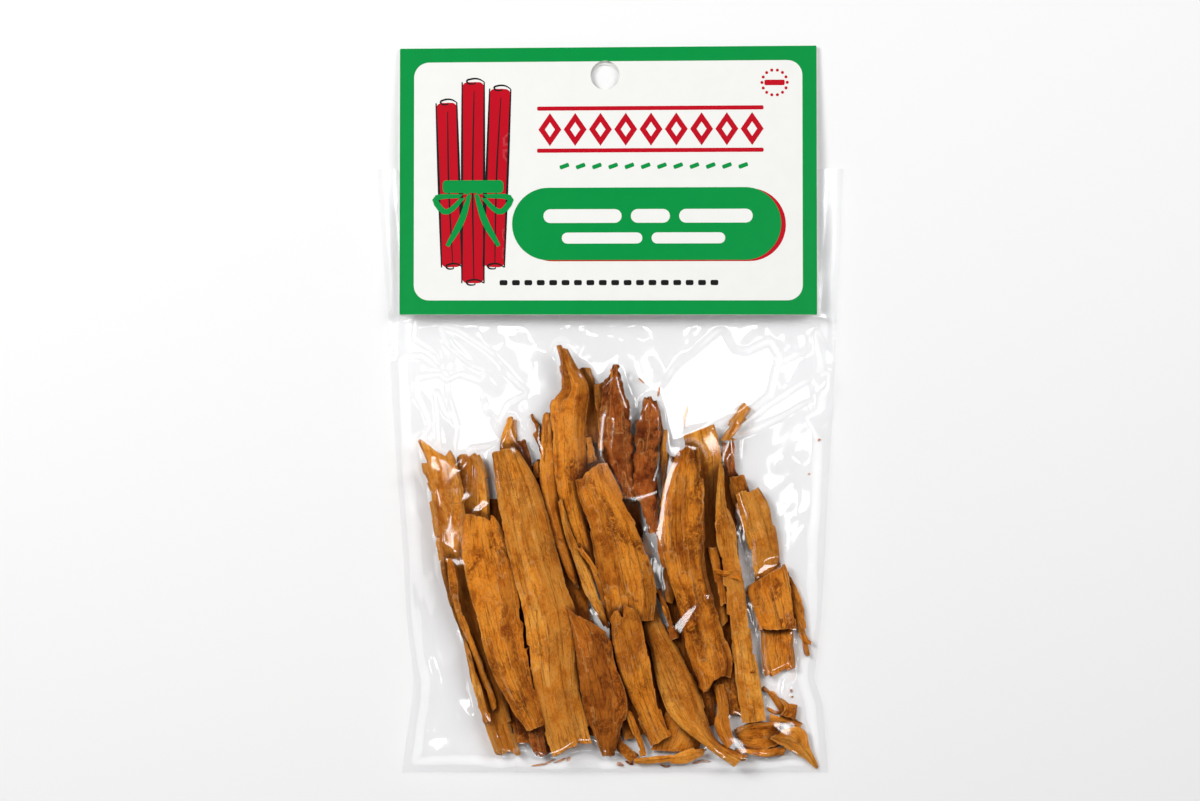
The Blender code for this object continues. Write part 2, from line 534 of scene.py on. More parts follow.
@dataclass(frozen=True)
class PaperFinish:
    """Satin card or a field of ink on it, with a faint tooth and mottle.

    Attributes:
        name: The material's name.
        colour: Its colour.
        roughness: How dull it is.
        mottle: How much darker its worn patches are.
    """

    name: str
    colour: Colour
    roughness: float = 0.5
    mottle: float = 0.04

    BLOBS = (260.0,) * 3
    TOOTH = (5200.0,) * 3

    def material(self) -> Material:
        """Make the paper's material.

        Returns:
            The material.
        """
        wiring = Wiring(self.name)
        place = wiring.add("TexCoord").outputs["Object"]
        worn = tuple(channel * (1.0 - 3 * self.mottle) for channel in self.colour)
        patches = wiring.band(wiring.noise(place, self.BLOBS, 3.0), 0.35, 0.7, 0.6)
        colour = wiring.blend(patches, self.colour, worn)
        return wiring.satin(colour, self.roughness, 0.12, wiring.noise(place, self.TOOTH, 2.0), 0.12, 0.00004)


class HeightMap:
    """How high the pile stands over each small square of the bag's floor, in millimetres."""

    # How far round a place the bark is looked at, in how many directions, how much higher it has
    # to stand to count, and the most that one spot counts.
    REACHES = (0.7, 1.5, 2.6)
    TURNS = 12
    STEP_UP = 0.15
    MOST = 1.6

    def __init__(self, low: Point, high: Point, cell: float) -> None:
        """Start with an empty floor.

        Args:
            low: Lowest x and y.
            high: Highest x and y.
            cell: Side of a square.
        """
        self.low, self.cell = low, cell
        self.shape = tuple(int(math.ceil((b - a) / cell)) + 1 for a, b in zip(low, high))
        self.tops = np.zeros(self.shape)

    def cells(self, x: Array, y: Array) -> tuple[Array, Array]:
        """Find the squares that places lie in.

        Args:
            x: The places' x.
            y: The places' y.

        Returns:
            The squares' numbers along x and along y.
        """
        column = np.clip(np.round((x - self.low[0]) / self.cell).astype(int), 0, self.shape[0] - 1)
        row = np.clip(np.round((y - self.low[1]) / self.cell).astype(int), 0, self.shape[1] - 1)
        return column, row

    def at(self, x: Array, y: Array) -> Array:
        """The pile's height at the places."""
        return self.tops[self.cells(x, y)]

    def crowding(self, x: Array, y: Array, z: Array) -> Array:
        """How much bark stands higher close round each place, from 0 to about 1.

        Args:
            x: The places' x.
            y: The places' y.
            z: The places' heights.

        Returns:
            The share of the sky that is hidden, roughly.
        """
        hidden = np.zeros_like(z)
        for reach in self.REACHES:
            for turn in np.arange(self.TURNS) * 2 * math.pi / self.TURNS:
                beside = self.at(x + reach * math.cos(turn), y + reach * math.sin(turn))
                hidden += np.clip((beside - z - self.STEP_UP) / reach, 0.0, self.MOST)
        return hidden / (self.TURNS * len(self.REACHES))

    def raise_to(self, x: Array, y: Array, z: Array) -> None:
        """Lay a surface on the pile, and close pinholes between its points.

        Args:
            x: The surface's x.
            y: The surface's y.
            z: The surface's heights.
        """
        fresh = np.zeros(self.shape)
        np.maximum.at(fresh, self.cells(x.ravel(), y.ravel()), z.ravel())
        beside = np.stack([np.roll(fresh, step, axis) for axis in (0, 1) for step in (1, -1)])
        holes = (fresh == 0) & ((beside > 0).sum(axis=0) >= 2)
        fresh[holes] = beside.max(axis=0)[holes]
        self.tops = np.maximum(self.tops, fresh)


@dataclass(frozen=True)
class Splint:
    """One splint of bark, drawn by its left and right edge from head to foot.

    Attributes:
        name: The piece's name.
        left: Points of the left edge, x and y in turn.
        right: Points of the right edge.
        crown: How far its middle stands over its edges; below 0 it is a trough.
        tone: Which bark it is.
        ribs: How high the ridges along it are.
        ragged: How far its torn ends run in and out.
        thick: How thick the bark is.
        torn: How far its long edges run in and out.
        head: Shape of the head: pairs of a share of the width and how far it runs in there.
        foot: Shape of the foot, in the same way.
    """

    name: str
    left: Run
    right: Run
    crown: float = 0.5
    tone: Tone = Tone.AMBER
    ribs: float = 0.12
    ragged: float = 1.0
    thick: float = 0.85
    torn: float = 0.3
    head: Run = (0.0, 0.0)
    foot: Run = (0.0, 0.0)

    FINE = 0.42  # step of the grid
    TOOTH = 1.1  # width of a tooth of a torn end
    RIB = 0.8  # width of a ridge
    LAYER = 0.24  # thickness of the outermost layer
    STRIP = 0.75  # width of the strips that this layer peels off in
    SPREAD = 0.3  # how far the long edges stand outside the drawn ones
    GAP = 0.06  # how far it stays off what it lies on
    GIVE = 0.5  # how far it may sink into the highest spots under it
    LEAN = 0.16  # the most that it slopes, as a share of its length or width
    PITCHES = 33  # how many slopes are tried along it
    ROLLS = 9  # how many are tried across it
    EDGE_ANGLE = 50  # the angle from which an edge is shaded sharp

    @property
    def seed(self) -> int:
        """A number of its own, from the name."""
        return sum(ord(letter) * (place + 3) for place, letter in enumerate(self.name))

    def plan(self) -> tuple[Array, Array, Array, Array]:
        """Lay the splint out flat.

        Returns:
            The x and y of each grid point, rows running from head to foot, and how many
            millimetres it lies across and along the splint.
        """
        edges = pairs(self.left), pairs(self.right)
        length = max(self.run(edge) for edge in edges)
        halfway = [along_curve(edge, np.array([0.5])) for edge in edges]
        middle = halfway[1] - halfway[0]
        width = float(np.hypot(*middle[0]))
        rows = int(np.clip(length / self.FINE, 10, 240))
        columns = int(np.clip(width / self.FINE * 1.15, 7, 40))
        grain = Grain(self.seed)
        u = np.linspace(0.0, 1.0, columns)[None, :]
        v = np.linspace(0.0, 1.0, rows)[:, None]
        across = u * width
        head = (self.torn_end(grain, across, 3.3) + self.cut(u, self.head)) / length
        foot = (self.torn_end(grain, across, 9.7) + self.cut(u, self.foot)) / length
        v = head + (1.0 - head - foot) * v
        near_side = self.torn_side(grain, v[:, 0] * length, 21.0) / width
        far_side = self.torn_side(grain, v[:, -1] * length, 33.0) / width
        u = near_side[:, None] + (1.0 - near_side - far_side)[:, None] * u
        shares = np.clip(v.ravel(), 0.0, 1.0)
        left, right = (along_curve(edge, shares).reshape(*v.shape, 2) for edge in edges)
        places = left * (1.0 - u[..., None]) + right * u[..., None]
        return places[..., 0], places[..., 1], u * width, v * length

    @staticmethod
    def cut(u: Array, profile: Run) -> Array:
        """How far an end's own shape runs in at each share of the width."""
        return np.interp(u, profile[::2], profile[1::2])

    @staticmethod
    def run(line: Line) -> float:
        """Length of an edge."""
        return sum(math.dist(a, b) for a, b in zip(line, line[1:]))

    @staticmethod
    def split(grain: Grain, places: Array, spacing: float, row: float) -> Array:
        """A break that runs along the fibres, steps back, and runs on, from 0 to 1.

        Args:
            grain: Where its chances come from.
            places: Millimetres along the break.
            spacing: How far its steps are from each other.
            row: Picks one break out of many.

        Returns:
            How far the break runs in.
        """
        along = places / spacing + 0.6 * grain.at(places / spacing / 2, np.full_like(places, row + 2))
        cell = np.floor(along)
        depth = grain.at(cell, np.full_like(places, row))
        return np.abs(depth) * np.where(depth > 0, along - cell, 1 - along + cell)

    def torn_end(self, grain: Grain, across: Array, end: float) -> Array:
        """How far a torn end runs in.

        Args:
            grain: Where its chances come from.
            across: Places across the end.
            end: Picks one end out of many.

        Returns:
            How far it runs in at each place.
        """
        slivers = self.split(grain, across, 3.2 * self.TOOTH, end)
        teeth = self.split(grain, across, 0.9 * self.TOOTH, end + 5)
        slow = 0.5 + 0.5 * grain.rough(across / (3 * self.TOOTH), np.full_like(across, end), 3)
        return self.ragged * np.clip(1.3 * slivers + 0.7 * teeth + 0.6 * slow - 0.2, 0.0, 2.0)

    def torn_side(self, grain: Grain, along: Array, side: float) -> Array:
        """How far a long edge runs in.

        Args:
            grain: Where its chances come from.
            along: Places along the edge.
            side: Picks one edge out of many.

        Returns:
            How far it runs in at each place.
        """
        slow = grain.rough(along / 7.0, np.full_like(along, side), 2)
        runs = self.split(grain, along, 8.5, side + 4)
        nicks = self.split(grain, along, 2.6, side + 8)
        return self.torn * (0.4 + 0.4 * slow + 2.6 * runs + 0.9 * nicks) - self.SPREAD

    def arch(self, across: Array) -> Array:
        """Curl the section to a part of a circle.

        Args:
            across: Places across the splint.

        Returns:
            Their heights over the splint's edges.
        """
        half = across.max() / 2
        if half <= 0 or not self.crown:
            return np.zeros_like(across)
        steep = min(abs(self.crown) / half, 0.98)
        reach = 2 * steep / (1 + steep**2)
        level = math.sqrt(1 - reach**2)
        round_part = np.sqrt(np.clip(1 - (reach * (across / half - 1)) ** 2, 0.0, 1.0))
        return self.crown * (round_part - level) / (1 - level)

    def relief(self, across: Array, along: Array) -> tuple[Array, Array]:
        """Ridges, swellings and torn layers of the outer face.

        Args:
            across: Millimetres across the splint.
            along: Millimetres along it.

        Returns:
            The heights, and 1 where the outermost layer is left.
        """
        grain = Grain(self.seed + 1)
        ridges = 0.8 - 2 * np.abs(grain.rough(across / self.RIB / 2, along / 26.0, 2))
        swell = grain.rough(across / 6.0 + 9, along / 20.0, 2)
        warts = grain.rough(across / 1.2 + 3, along / 1.4, 3)
        strip = np.floor(across / self.STRIP + 0.3 * grain.rough(along / 9.0, across / 9.0, 2)) * self.STRIP
        skin = smoothstep((grain.rough(strip / 3.0 + 31, along / 20.0, 4) + 0.1) / 0.1)
        warty = 0.45 * max(0.0, self.tone.value.coarse - 0.3)
        return self.ribs * ridges + 0.32 * swell + warty * warts + self.LAYER * skin, skin

    def surfaces(self) -> tuple[Array, Array, Array, Array, Array]:
        """Shape the splint before it is laid down.

        Returns:
            Outer and inner face as grids of (x, y, z), millimetres across and along, and the skin.
        """
        x, y, across, along = self.plan()
        base = np.stack([x, y, self.arch(across)], axis=-1)
        relief, skin = self.relief(across, along)
        step_across, step_along = np.gradient(base, axis=1), np.gradient(base, axis=0)
        normal = np.cross(step_along, step_across)
        normal /= np.maximum(np.linalg.norm(normal, axis=-1, keepdims=True), 1e-9)
        normal *= np.where(normal[..., 2:] < 0, -1.0, 1.0)
        outer = base + normal * relief[..., None]
        grain = Grain(self.seed + 2)
        thick = self.thick * (1 + 0.25 * grain.rough(across / 4, along / 9, 2))
        inner = base - normal * thick[..., None] + normal * 0.4 * relief[..., None]
        return outer, inner, across, along, skin

    def rest_on(self, pile: HeightMap, inner: Array) -> Array:
        """Find how a stiff splint comes to rest on the pile.

        Args:
            pile: What it lands on.
            inner: Its inner face.

        Returns:
            How far each grid point is lifted.
        """
        rows, columns = inner.shape[:2]
        v = np.linspace(-0.5, 0.5, rows)[:, None]
        u = np.linspace(-0.5, 0.5, columns)[None, :]
        table = self.GAP - inner[..., 2]
        need = pile.at(inner[..., 0], inner[..., 1]) - inner[..., 2] + self.GAP
        length = self.run(pairs(self.left))
        width = abs(float(inner[rows // 2, -1, 0] - inner[rows // 2, 0, 0]))
        best, lift = np.inf, np.zeros_like(need)
        for pitch in np.linspace(-self.LEAN, self.LEAN, self.PITCHES) * length:
            for roll in np.linspace(-self.LEAN, self.LEAN, self.ROLLS) * width:
                slope = pitch * v + roll * u
                over = need - slope
                height = max(float(np.quantile(over, 0.95)), float(over.max()) - self.GIVE)
                height = max(height, float((table - slope).max()))
                if height < best:
                    best, lift = height, height + slope
        return lift

    def build(self, pile: HeightMap) -> Object:
        """Lay the splint on the pile and make its mesh.

        Args:
            pile: What it lands on; the splint is added to it.

        Returns:
            The splint's object.
        """
        outer, inner, across, along, skin = self.surfaces()
        lift = self.rest_on(pile, inner)
        outer[..., 2] += lift
        inner[..., 2] += lift
        pile.raise_to(outer[..., 0], outer[..., 1], outer[..., 2])
        rows, columns = across.shape
        front = grid_faces(rows, columns)
        back = grid_faces(rows, columns, rows * columns)[:, ::-1]
        rim = grid_rim(rows, columns)
        onward = np.roll(rim, -1)
        side = np.stack([rim, rim + rows * columns, onward + rows * columns, onward], axis=1)
        faces = np.concatenate([front, back, side])
        points = np.concatenate([outer.reshape(-1, 3), inner.reshape(-1, 3)])
        if self.turned_over(outer):
            faces = faces[:, ::-1]
        obj = make_object(self.name, points, faces, finish_of(self.tone))
        obj.data.set_sharp_from_angle(angle=math.radians(self.EDGE_ANGLE))
        self.mark(obj.data, across, along, skin, rim)
        return obj

    @staticmethod
    def turned_over(outer: Array) -> bool:
        """Tell whether the grid's faces wind so that its outer face looks down.

        Args:
            outer: The outer face's points.

        Returns:
            True where the faces have to be turned round.
        """
        middle = outer.shape[0] // 2
        down = outer[middle + 1, 0] - outer[middle, 0]
        across = outer[middle, -1] - outer[middle, 0]
        return float(np.cross(across, down)[2]) < 0

    def mark(self, mesh: bpy.types.Mesh, across: Array, along: Array, skin: Array, rim: Array) -> None:
        """Store where each point lies on the splint, for the finish.

        Args:
            mesh: The splint's mesh.
            across: Millimetres across.
            along: Millimetres along.
            skin: 1 where the outermost layer is left.
            rim: The point numbers of the outer face's rim.
        """
        own = float(self.seed % 97) * 3.1
        outer = np.stack([across, along, np.full_like(across, own)], axis=-1).reshape(-1, 3)
        inner = outer + (0.0, 0.0, 11.0)
        grain = mesh.attributes.new("grain", "FLOAT_VECTOR", "POINT")
        grain.data.foreach_set("vector", np.concatenate([outer, inner]).ravel())
        torn = np.zeros(2 * across.size)
        torn[rim] = 1.0
        torn[across.size:] = 0.25
        mesh.attributes.new("rim", "FLOAT", "POINT").data.foreach_set("value", torn)
        left = np.concatenate([skin.ravel(), np.zeros(across.size)])
        mesh.attributes.new("skin", "FLOAT", "POINT").data.foreach_set("value", left)


def store_painted_shade(piece: Object, pile: HeightMap) -> None:
    """Store how deep in the pile each point of a splint lies, for painted shade: the bark is painted darker
    there, where nearby bark hides the sky.

    Args:
        piece: The splint.
        pile: The whole pile.
    """
    mesh = piece.data
    places = np.zeros(3 * len(mesh.vertices))
    mesh.vertices.foreach_get("co", places)
    x, y, z = (places.reshape(-1, 3) / MM).T
    # painted shade: how much of the sky the nearby bark hides, later painted as a darker colour
    painted_shade = np.clip(1.5 * pile.crowding(x, y, z), 0.0, 1.0)
    mesh.attributes.new("painted_shade", "FLOAT", "POINT").data.foreach_set("value", painted_shade)


def finish_of(tone: Tone) -> Material:
    """The material of a kind of bark, made once."""
    return bpy.data.materials.get(tone.value.name) or tone.value.material()


def place(piece: Object, slot: str) -> None:
    """Fix a piece to the pack and report it.

    Args:
        piece: The piece.
        slot: The record's material slot for the piece; not used.
    """
    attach(piece, "root")
    LOG.info("%s: %d faces", piece.name, len(piece.data.polygons))


SPLINTS = (
    Splint("deep_left", (-30, -20, -26, -45, -20, -68), (-19, -18, -16, -45, -11, -70), thick=0.7),
    Splint("deep_mid_left", (-18, -12, -14, -40, -5, -71), (-9, -10, -5, -40, 3, -72), thick=0.7),
    Splint("deep_middle", (-7, -4, -3, -30, 3, -72), (4, -8, 8, -32, 14, -70), thick=0.7),
    Splint("deep_mid_right", (11, -8, 12, -35, 14, -71), (18, -12, 21, -38, 23, -69), thick=0.7),
    Splint("deep_right", (20, -6, 21, -35, 23, -67), (27, -10, 28, -35, 29.5, -67), thick=0.7),
    Splint("trough_behind_tall", (-7, 9.5, -6, 2, -5, -7.5), (-5, 9.5, -3.5, 4.5, -2, -7.5), crown=-1.2,
        tone=Tone.HONEY),
    Splint("narrow_behind_tall", (-3.5, 6, -3, 1, -2.5, -9), (-1.5, 7, -1, 3, -1.5, -9)),
    # darker UMBER bark here is painted shade: this piece lies in shade
    Splint("shaded_foot_left", (-24, -60.5, -22.5, -66, -20.5, -73), (-20, -59, -17.5, -66.5, -16.5, -72.5),
        tone=Tone.UMBER),
    Splint("shaded_base", (12, -65.5, 10, -70.5, 8.5, -74.5), (21, -70.5, 20, -72.5, 19, -74.5), ragged=0.5),
    Splint("base_sliver_a", (2.5, -64.5, 5, -71, 7, -76), (4, -64, 6.5, -70.5, 8, -75.5)),
    Splint("base_sliver_b", (0, -71.5, 1.5, -74, 5, -77), (1.5, -70.5, 3.5, -73, 6.5, -75.5), ragged=0.6),
    Splint("quill_under_glare", (-32.5, -9.5, -33.5, -16.5, -34.5, -23), (-29.5, -9.5, -27.5, -14,
        -26.5, -22.5, -26, -29.5), crown=-1.6, tone=Tone.HONEY),
    Splint("peg_behind_broad", (-22, -1, -23.5, -4.5, -24, -10, -23, -17.5), (-20.5, -2, -20.5, -5.5,
        -20, -10, -19, -17.5), crown=1, tone=Tone.HONEY),
    Splint("red_chip_behind_broad", (-20.5, -6.5, -20.5, -12, -20, -18.5), (-18.5, -6, -17.5, -10,
        -17, -18.5), tone=Tone.RUSSET),
    # darker UMBER bark on these two is painted shade: they lie in shade
    Splint("dark_blade", (-17.5, -1, -16.5, -5.5, -14.5, -11.5, -14, -17.5), (-17, -1, -15, -3.5, -14, -9,
        -13.5, -17.5), tone=Tone.UMBER, ragged=0.3),
    Splint("chip_by_blade", (-17, -12, -17, -15.5), (-15.5, -10.5, -15, -14.5), tone=Tone.UMBER, ragged=0.4),
    Splint("smooth_plank_behind", (16, -5.5, 17.5, -19.5, 19.5, -33, 22, -50), (22.5, -3, 24, -10, 23.5, -24,
        24, -35, 25.5, -46), crown=0.8, tone=Tone.HONEY, ragged=0.2),
    Splint("oval_base_flake", (27, -70, 30.5, -68.5, 37, -68.5), (28, -72.5, 31.5, -74.5, 38.5, -72),
        crown=-1, ragged=0.6),
    Splint("curved_base_strip", (27, -73.5, 32.5, -74, 38.5, -73.5), (27.5, -74.5, 32.5, -75.5, 38, -75),
        ragged=0.4),
    Splint("hem_sliver", (5, -76, 12, -75, 19, -73.5, 21.5, -73.5), (5, -77, 11.5, -77, 17.5, -76.5,
        20.5, -75), tone=Tone.HONEY, ragged=0.8),
    Splint("red_flake_a", (33, -60.5, 35.5, -63.5, 38, -67), (35.5, -61, 37.5, -64, 39, -66.5), ragged=1.2),
    Splint("red_flake_b", (36.5, -62.5, 38, -65, 36.5, -67), (41, -63.5, 40.5, -66, 40, -68), ragged=1.4),
    Splint("red_flake_c", (34.5, -66, 38, -67, 42, -68.5), (34.5, -67.5, 38, -68.5, 41.5, -70), ragged=0.8),
    Splint("grey_sliver", (9.5, 2, 10, -3.5, 11.5, -10), (10, 2, 11.5, -2.5, 12, -10), ragged=0.3),
    Splint("wedge_behind_broad", (-5, -6, -5, -12), (-4.5, -6, -2, -11), tone=Tone.HONEY, ragged=0.2),
    Splint("strip_behind_flap", (24, -6.5, 25, -13, 27, -19.5), (27, -6, 27, -12.5, 29.5, -19),
        tone=Tone.RUSSET),
    Splint("step_behind_right", (26, -14.5, 26.5, -18.5, 27.5, -22), (29, -14, 30, -17.5, 31, -21),
        ragged=0.4),
    Splint("right_underlay", (32.5, -44, 33, -51.5, 34.5, -58.5), (39, -43, 39.5, -51.5, 40, -56.5),
        crown=-1.4, ragged=0.6),
    Splint("left_trough", (-41.5, -6, -38.5, -19, -36, -34.5, -31, -52, -27, -66.5, -24, -75.5), (-33.5, -8,
        -32.5, -19.5, -31, -33, -28.5, -47, -24, -59, -22, -68.5, -20, -75.5), crown=-2.4, tone=Tone.HONEY,
        ragged=0.7, head=(0, 0.2, 0.06, 0, 0.2, 0.9, 0.45, 2.3, 0.7, 2.7, 0.78, 1.6, 0.86, 0.7, 1, 4.3),
        foot=(0, 0.4, 0.15, 0, 0.6, 0.8, 0.85, 0.4, 1, 0)),
    Splint("left_peel", (-31.5, -53, -29.5, -61, -27, -68), (-30.5, -53, -28, -61, -26, -68),
        tone=Tone.HONEY, ragged=0.5),
    Splint("left_fin", (-36, -32, -33.5, -43, -29.5, -54.5, -25.5, -66), (-34, -32, -32, -43, -28.5, -53.5,
        -24.5, -64.5), crown=0.8, ragged=0.8),
    Splint("foot_chip", (-18.5, -69, -17.5, -72, -16, -76), (-13, -67.5, -13, -71, -12.8, -75),
        tone=Tone.RUSSET, ragged=0.8),
    Splint("speckled_wide", (-32, -22.5, -32, -31.5, -29.5, -43.5, -27, -53, -22, -63.5, -18, -70),
        (-24, -22.5, -21.5, -31.5, -19.5, -43, -17.5, -55.5, -15, -64.5, -14, -68.5), crown=1.2, ragged=0.5,
        head=(0, 0.3, 0.1, 0, 0.45, 0.2, 0.62, 0.9, 0.74, 1.6, 0.8, 0, 0.86, 0.2, 1, 4)),
    Splint("layered_left", (-14.5, 0, -15, -9.5, -15, -17.5, -12.5, -27.5, -9, -36), (-12.5, 0, -12, -9,
        -11.5, -19.5, -9, -30.5, -7, -39.5), crown=0.8, ribs=0.3, ragged=2.2),
    Splint("broad_light", (-25.5, -8.5, -24, -20.5, -19.5, -41, -17, -56, -14.5, -68, -12.5, -75.5),
        (-20, -8, -16, -15.5, -11.5, -31.5, -7.5, -44, -6.5, -60, -3.5, -73.5), crown=2, tone=Tone.HONEY,
        ragged=0.5, head=(0, 0.8, 0.1, 0.3, 0.5, 0, 0.85, 0, 1, 0.8), foot=(0, 0, 0.15, 0.2, 0.4, 0.9,
        0.62, 1, 0.66, 1.8, 1, 0.6)),
    Splint("tall_centre", (-11.7, 14, -10.7, 8.6, -10.6, 4, -12.3, 2, -12.3, -6, -12, -14.5, -8, -28.5,
        -4, -37.5), (-9.6, 13.4, -7.7, 9.3, -5.6, 6.3, -5.4, -3.6, -5.2, -13.5, -5.5, -21.5, -2.5, -33,
        -1, -37.5), crown=1.4, ragged=0.5),
    Splint("thin_split_a", (-11.5, -19.5, -10, -26.5, -6, -38, -1, -48), (-10.5, -19, -8.5, -26, -4, -36,
        0, -47.5), tone=Tone.HONEY, ragged=1),
    Splint("thin_split_b", (-7.5, -30, -3.5, -36.5, 0, -46.5), (-6, -29.5, -1.5, -37, 1.5, -45.5),
        ragged=0.8),
    Splint("tan_split", (11.5, -4.5, 10.6, -9, 11.2, -16.5, 11.6, -26, 12, -42), (12.5, -4, 12.6, -9,
        12.8, -17.5, 13.2, -27.5, 14.5, -43), tone=Tone.HONEY, ragged=0.8),
    Splint("rough_quill_left", (0.9, 10, 0.5, 8, -1, 6, -2, 1.5, -1.5, -6.5, -0.5, -11.5, 2.5, -19.5),
        (1.6, 10, 1.6, 8, 2.5, 6, 4, 1, 5, -6.5, 5.3, -12, 6.5, -19.5), crown=1.8, tone=Tone.RUSSET,
        ribs=0.35, ragged=1.2),
    Splint("rough_quill_right", (7.8, 3.4, 6.3, -1.6, 5.3, -7, 5.2, -12.5, 5.2, -18, 6.6, -20.6, 9, -27.7),
        (8.6, 3.2, 9.9, 1.6, 11.5, -6.1, 10.4, -9.3, 10.8, -19, 11.2, -23, 11, -28), crown=1.8,
        tone=Tone.RUSSET, ribs=0.35, ragged=1.2),
    Splint("dark_split_right", (21.5, -29.5, 22.5, -36, 24, -43), (23, -29.5, 24.5, -35.5, 25.5, -42),
        ragged=0.6),
    Splint("long_right", (23.5, -11.5, 23, -19.5, 23, -27.5, 24.5, -35.5, 26, -47, 28.5, -68.5),
        (24.5, -12.5, 25.5, -21, 27.5, -26.5, 28, -33, 30.5, -47, 34, -68), crown=0.9, tone=Tone.HONEY,
        ragged=0.35),
    Splint("lifted_flap", (29.5, 1.5, 27, -2, 24, -7), (30.5, 0.5, 28.5, -3, 26.5, -7), crown=-0.6,
        tone=Tone.HONEY, ragged=0.4),
    Splint("twisted_long", (7, -39.5, 7, -46.5, 8.5, -52, 10, -59, 13.5, -67, 20, -72.5, 27, -77.5),
        (9, -39.5, 12, -47.5, 16, -54, 19, -60, 20.5, -65.5, 23, -72, 30, -75.5), crown=1.6, tone=Tone.HONEY,
        ragged=0.8),
    Splint("ribbed_plank", (14.5, -8, 12.5, -14, 11, -21, 11, -29.5, 15, -44, 17, -52.5, 20, -62),
        (18.5, -7.5, 20, -15.5, 20.5, -26, 21, -35, 24.5, -50, 26, -55, 25, -60), crown=2.2, ribs=0.75,
        ragged=1.2, foot=(0, 1.2, 0.18, 0, 0.5, 2, 0.6, 2.2, 0.75, 2.4, 1, 1.4)),
    Splint("right_upper_plank", (27, -18, 28, -22.5, 29.5, -27.5, 32, -39.5), (32, -16.5, 34.5, -21,
        35.5, -24.5, 37.5, -38), crown=1.2, tone=Tone.HONEY, ribs=0.3, ragged=0.9),
    Splint("right_side_layer", (38, -35, 39, -41.5, 42.5, -53.5), (39, -36, 41, -40, 43.5, -54), ragged=0.6),
    Splint("right_lower_plank", (30, -38, 29.8, -39.5, 31, -43, 32.6, -48), (37.8, -33.5, 39, -38,
        39.8, -42.5, 40.5, -48), crown=1.2, ragged=0.7),
    Splint("bead_strip", (10, -39, 11.5, -43.5, 13.5, -50.5), (11, -38.5, 13, -43, 15, -50), tone=Tone.UMBER,
        ragged=0.5),
    Splint("foot_knuckle", (22, -59.5, 23, -64.5, 22.5, -68, 25.5, -74.5), (24.5, -59, 25.5, -63.5,
        26, -68.5, 27.5, -73), crown=1, ragged=0.8),
    Splint("pointed_flake", (37.5, -69.5, 41.5, -69, 43.5, -73.5, 45.5, -78), (34, -71.5, 37, -73,
        41.5, -75.5, 45, -78.5), crown=0.6, tone=Tone.HONEY, ragged=1),
    Splint("broad_centre", (-7.5, -15, -7, -18.5, -5, -24, -3, -33, 0, -46), (-1, -10.5, 2, -17, 4, -21.5,
        7.5, -30, 10, -39.5, 9.5, -46), crown=2.2, ragged=0.5, head=(0, 0, 0.25, 0.6, 0.35, 0, 0.8, 0,
        1, 1)),
    Splint("mottled_foot", (-10, -42.5, -8, -49, -7, -55.5, -6, -63.5, -1.5, -75.5), (-4, -45, -0.5, -48.5,
        1, -54.5, 3.5, -63, 1, -75.5), crown=1.4, tone=Tone.UMBER, ragged=0.7, head=(0, 0, 0.12, 0.9,
        0.3, 1.6, 0.45, 1.1, 0.7, 1.5, 0.85, 2.2, 1, 4.5)),
    Splint("notched_foot", (0, -42.5, 0.5, -49, 2, -57, 5.5, -66, 9, -73.5), (5, -41.5, 6.5, -46.5,
        8.5, -54.5, 10, -62, 13.5, -71), crown=1.6, ragged=0.4, head=(0, 2.4, 0.15, 1.2, 0.3, 1, 0.4, 2.7,
        0.5, 2.9, 0.56, 0, 0.75, 0.9, 0.9, 1.6, 1, 3.2)),
)


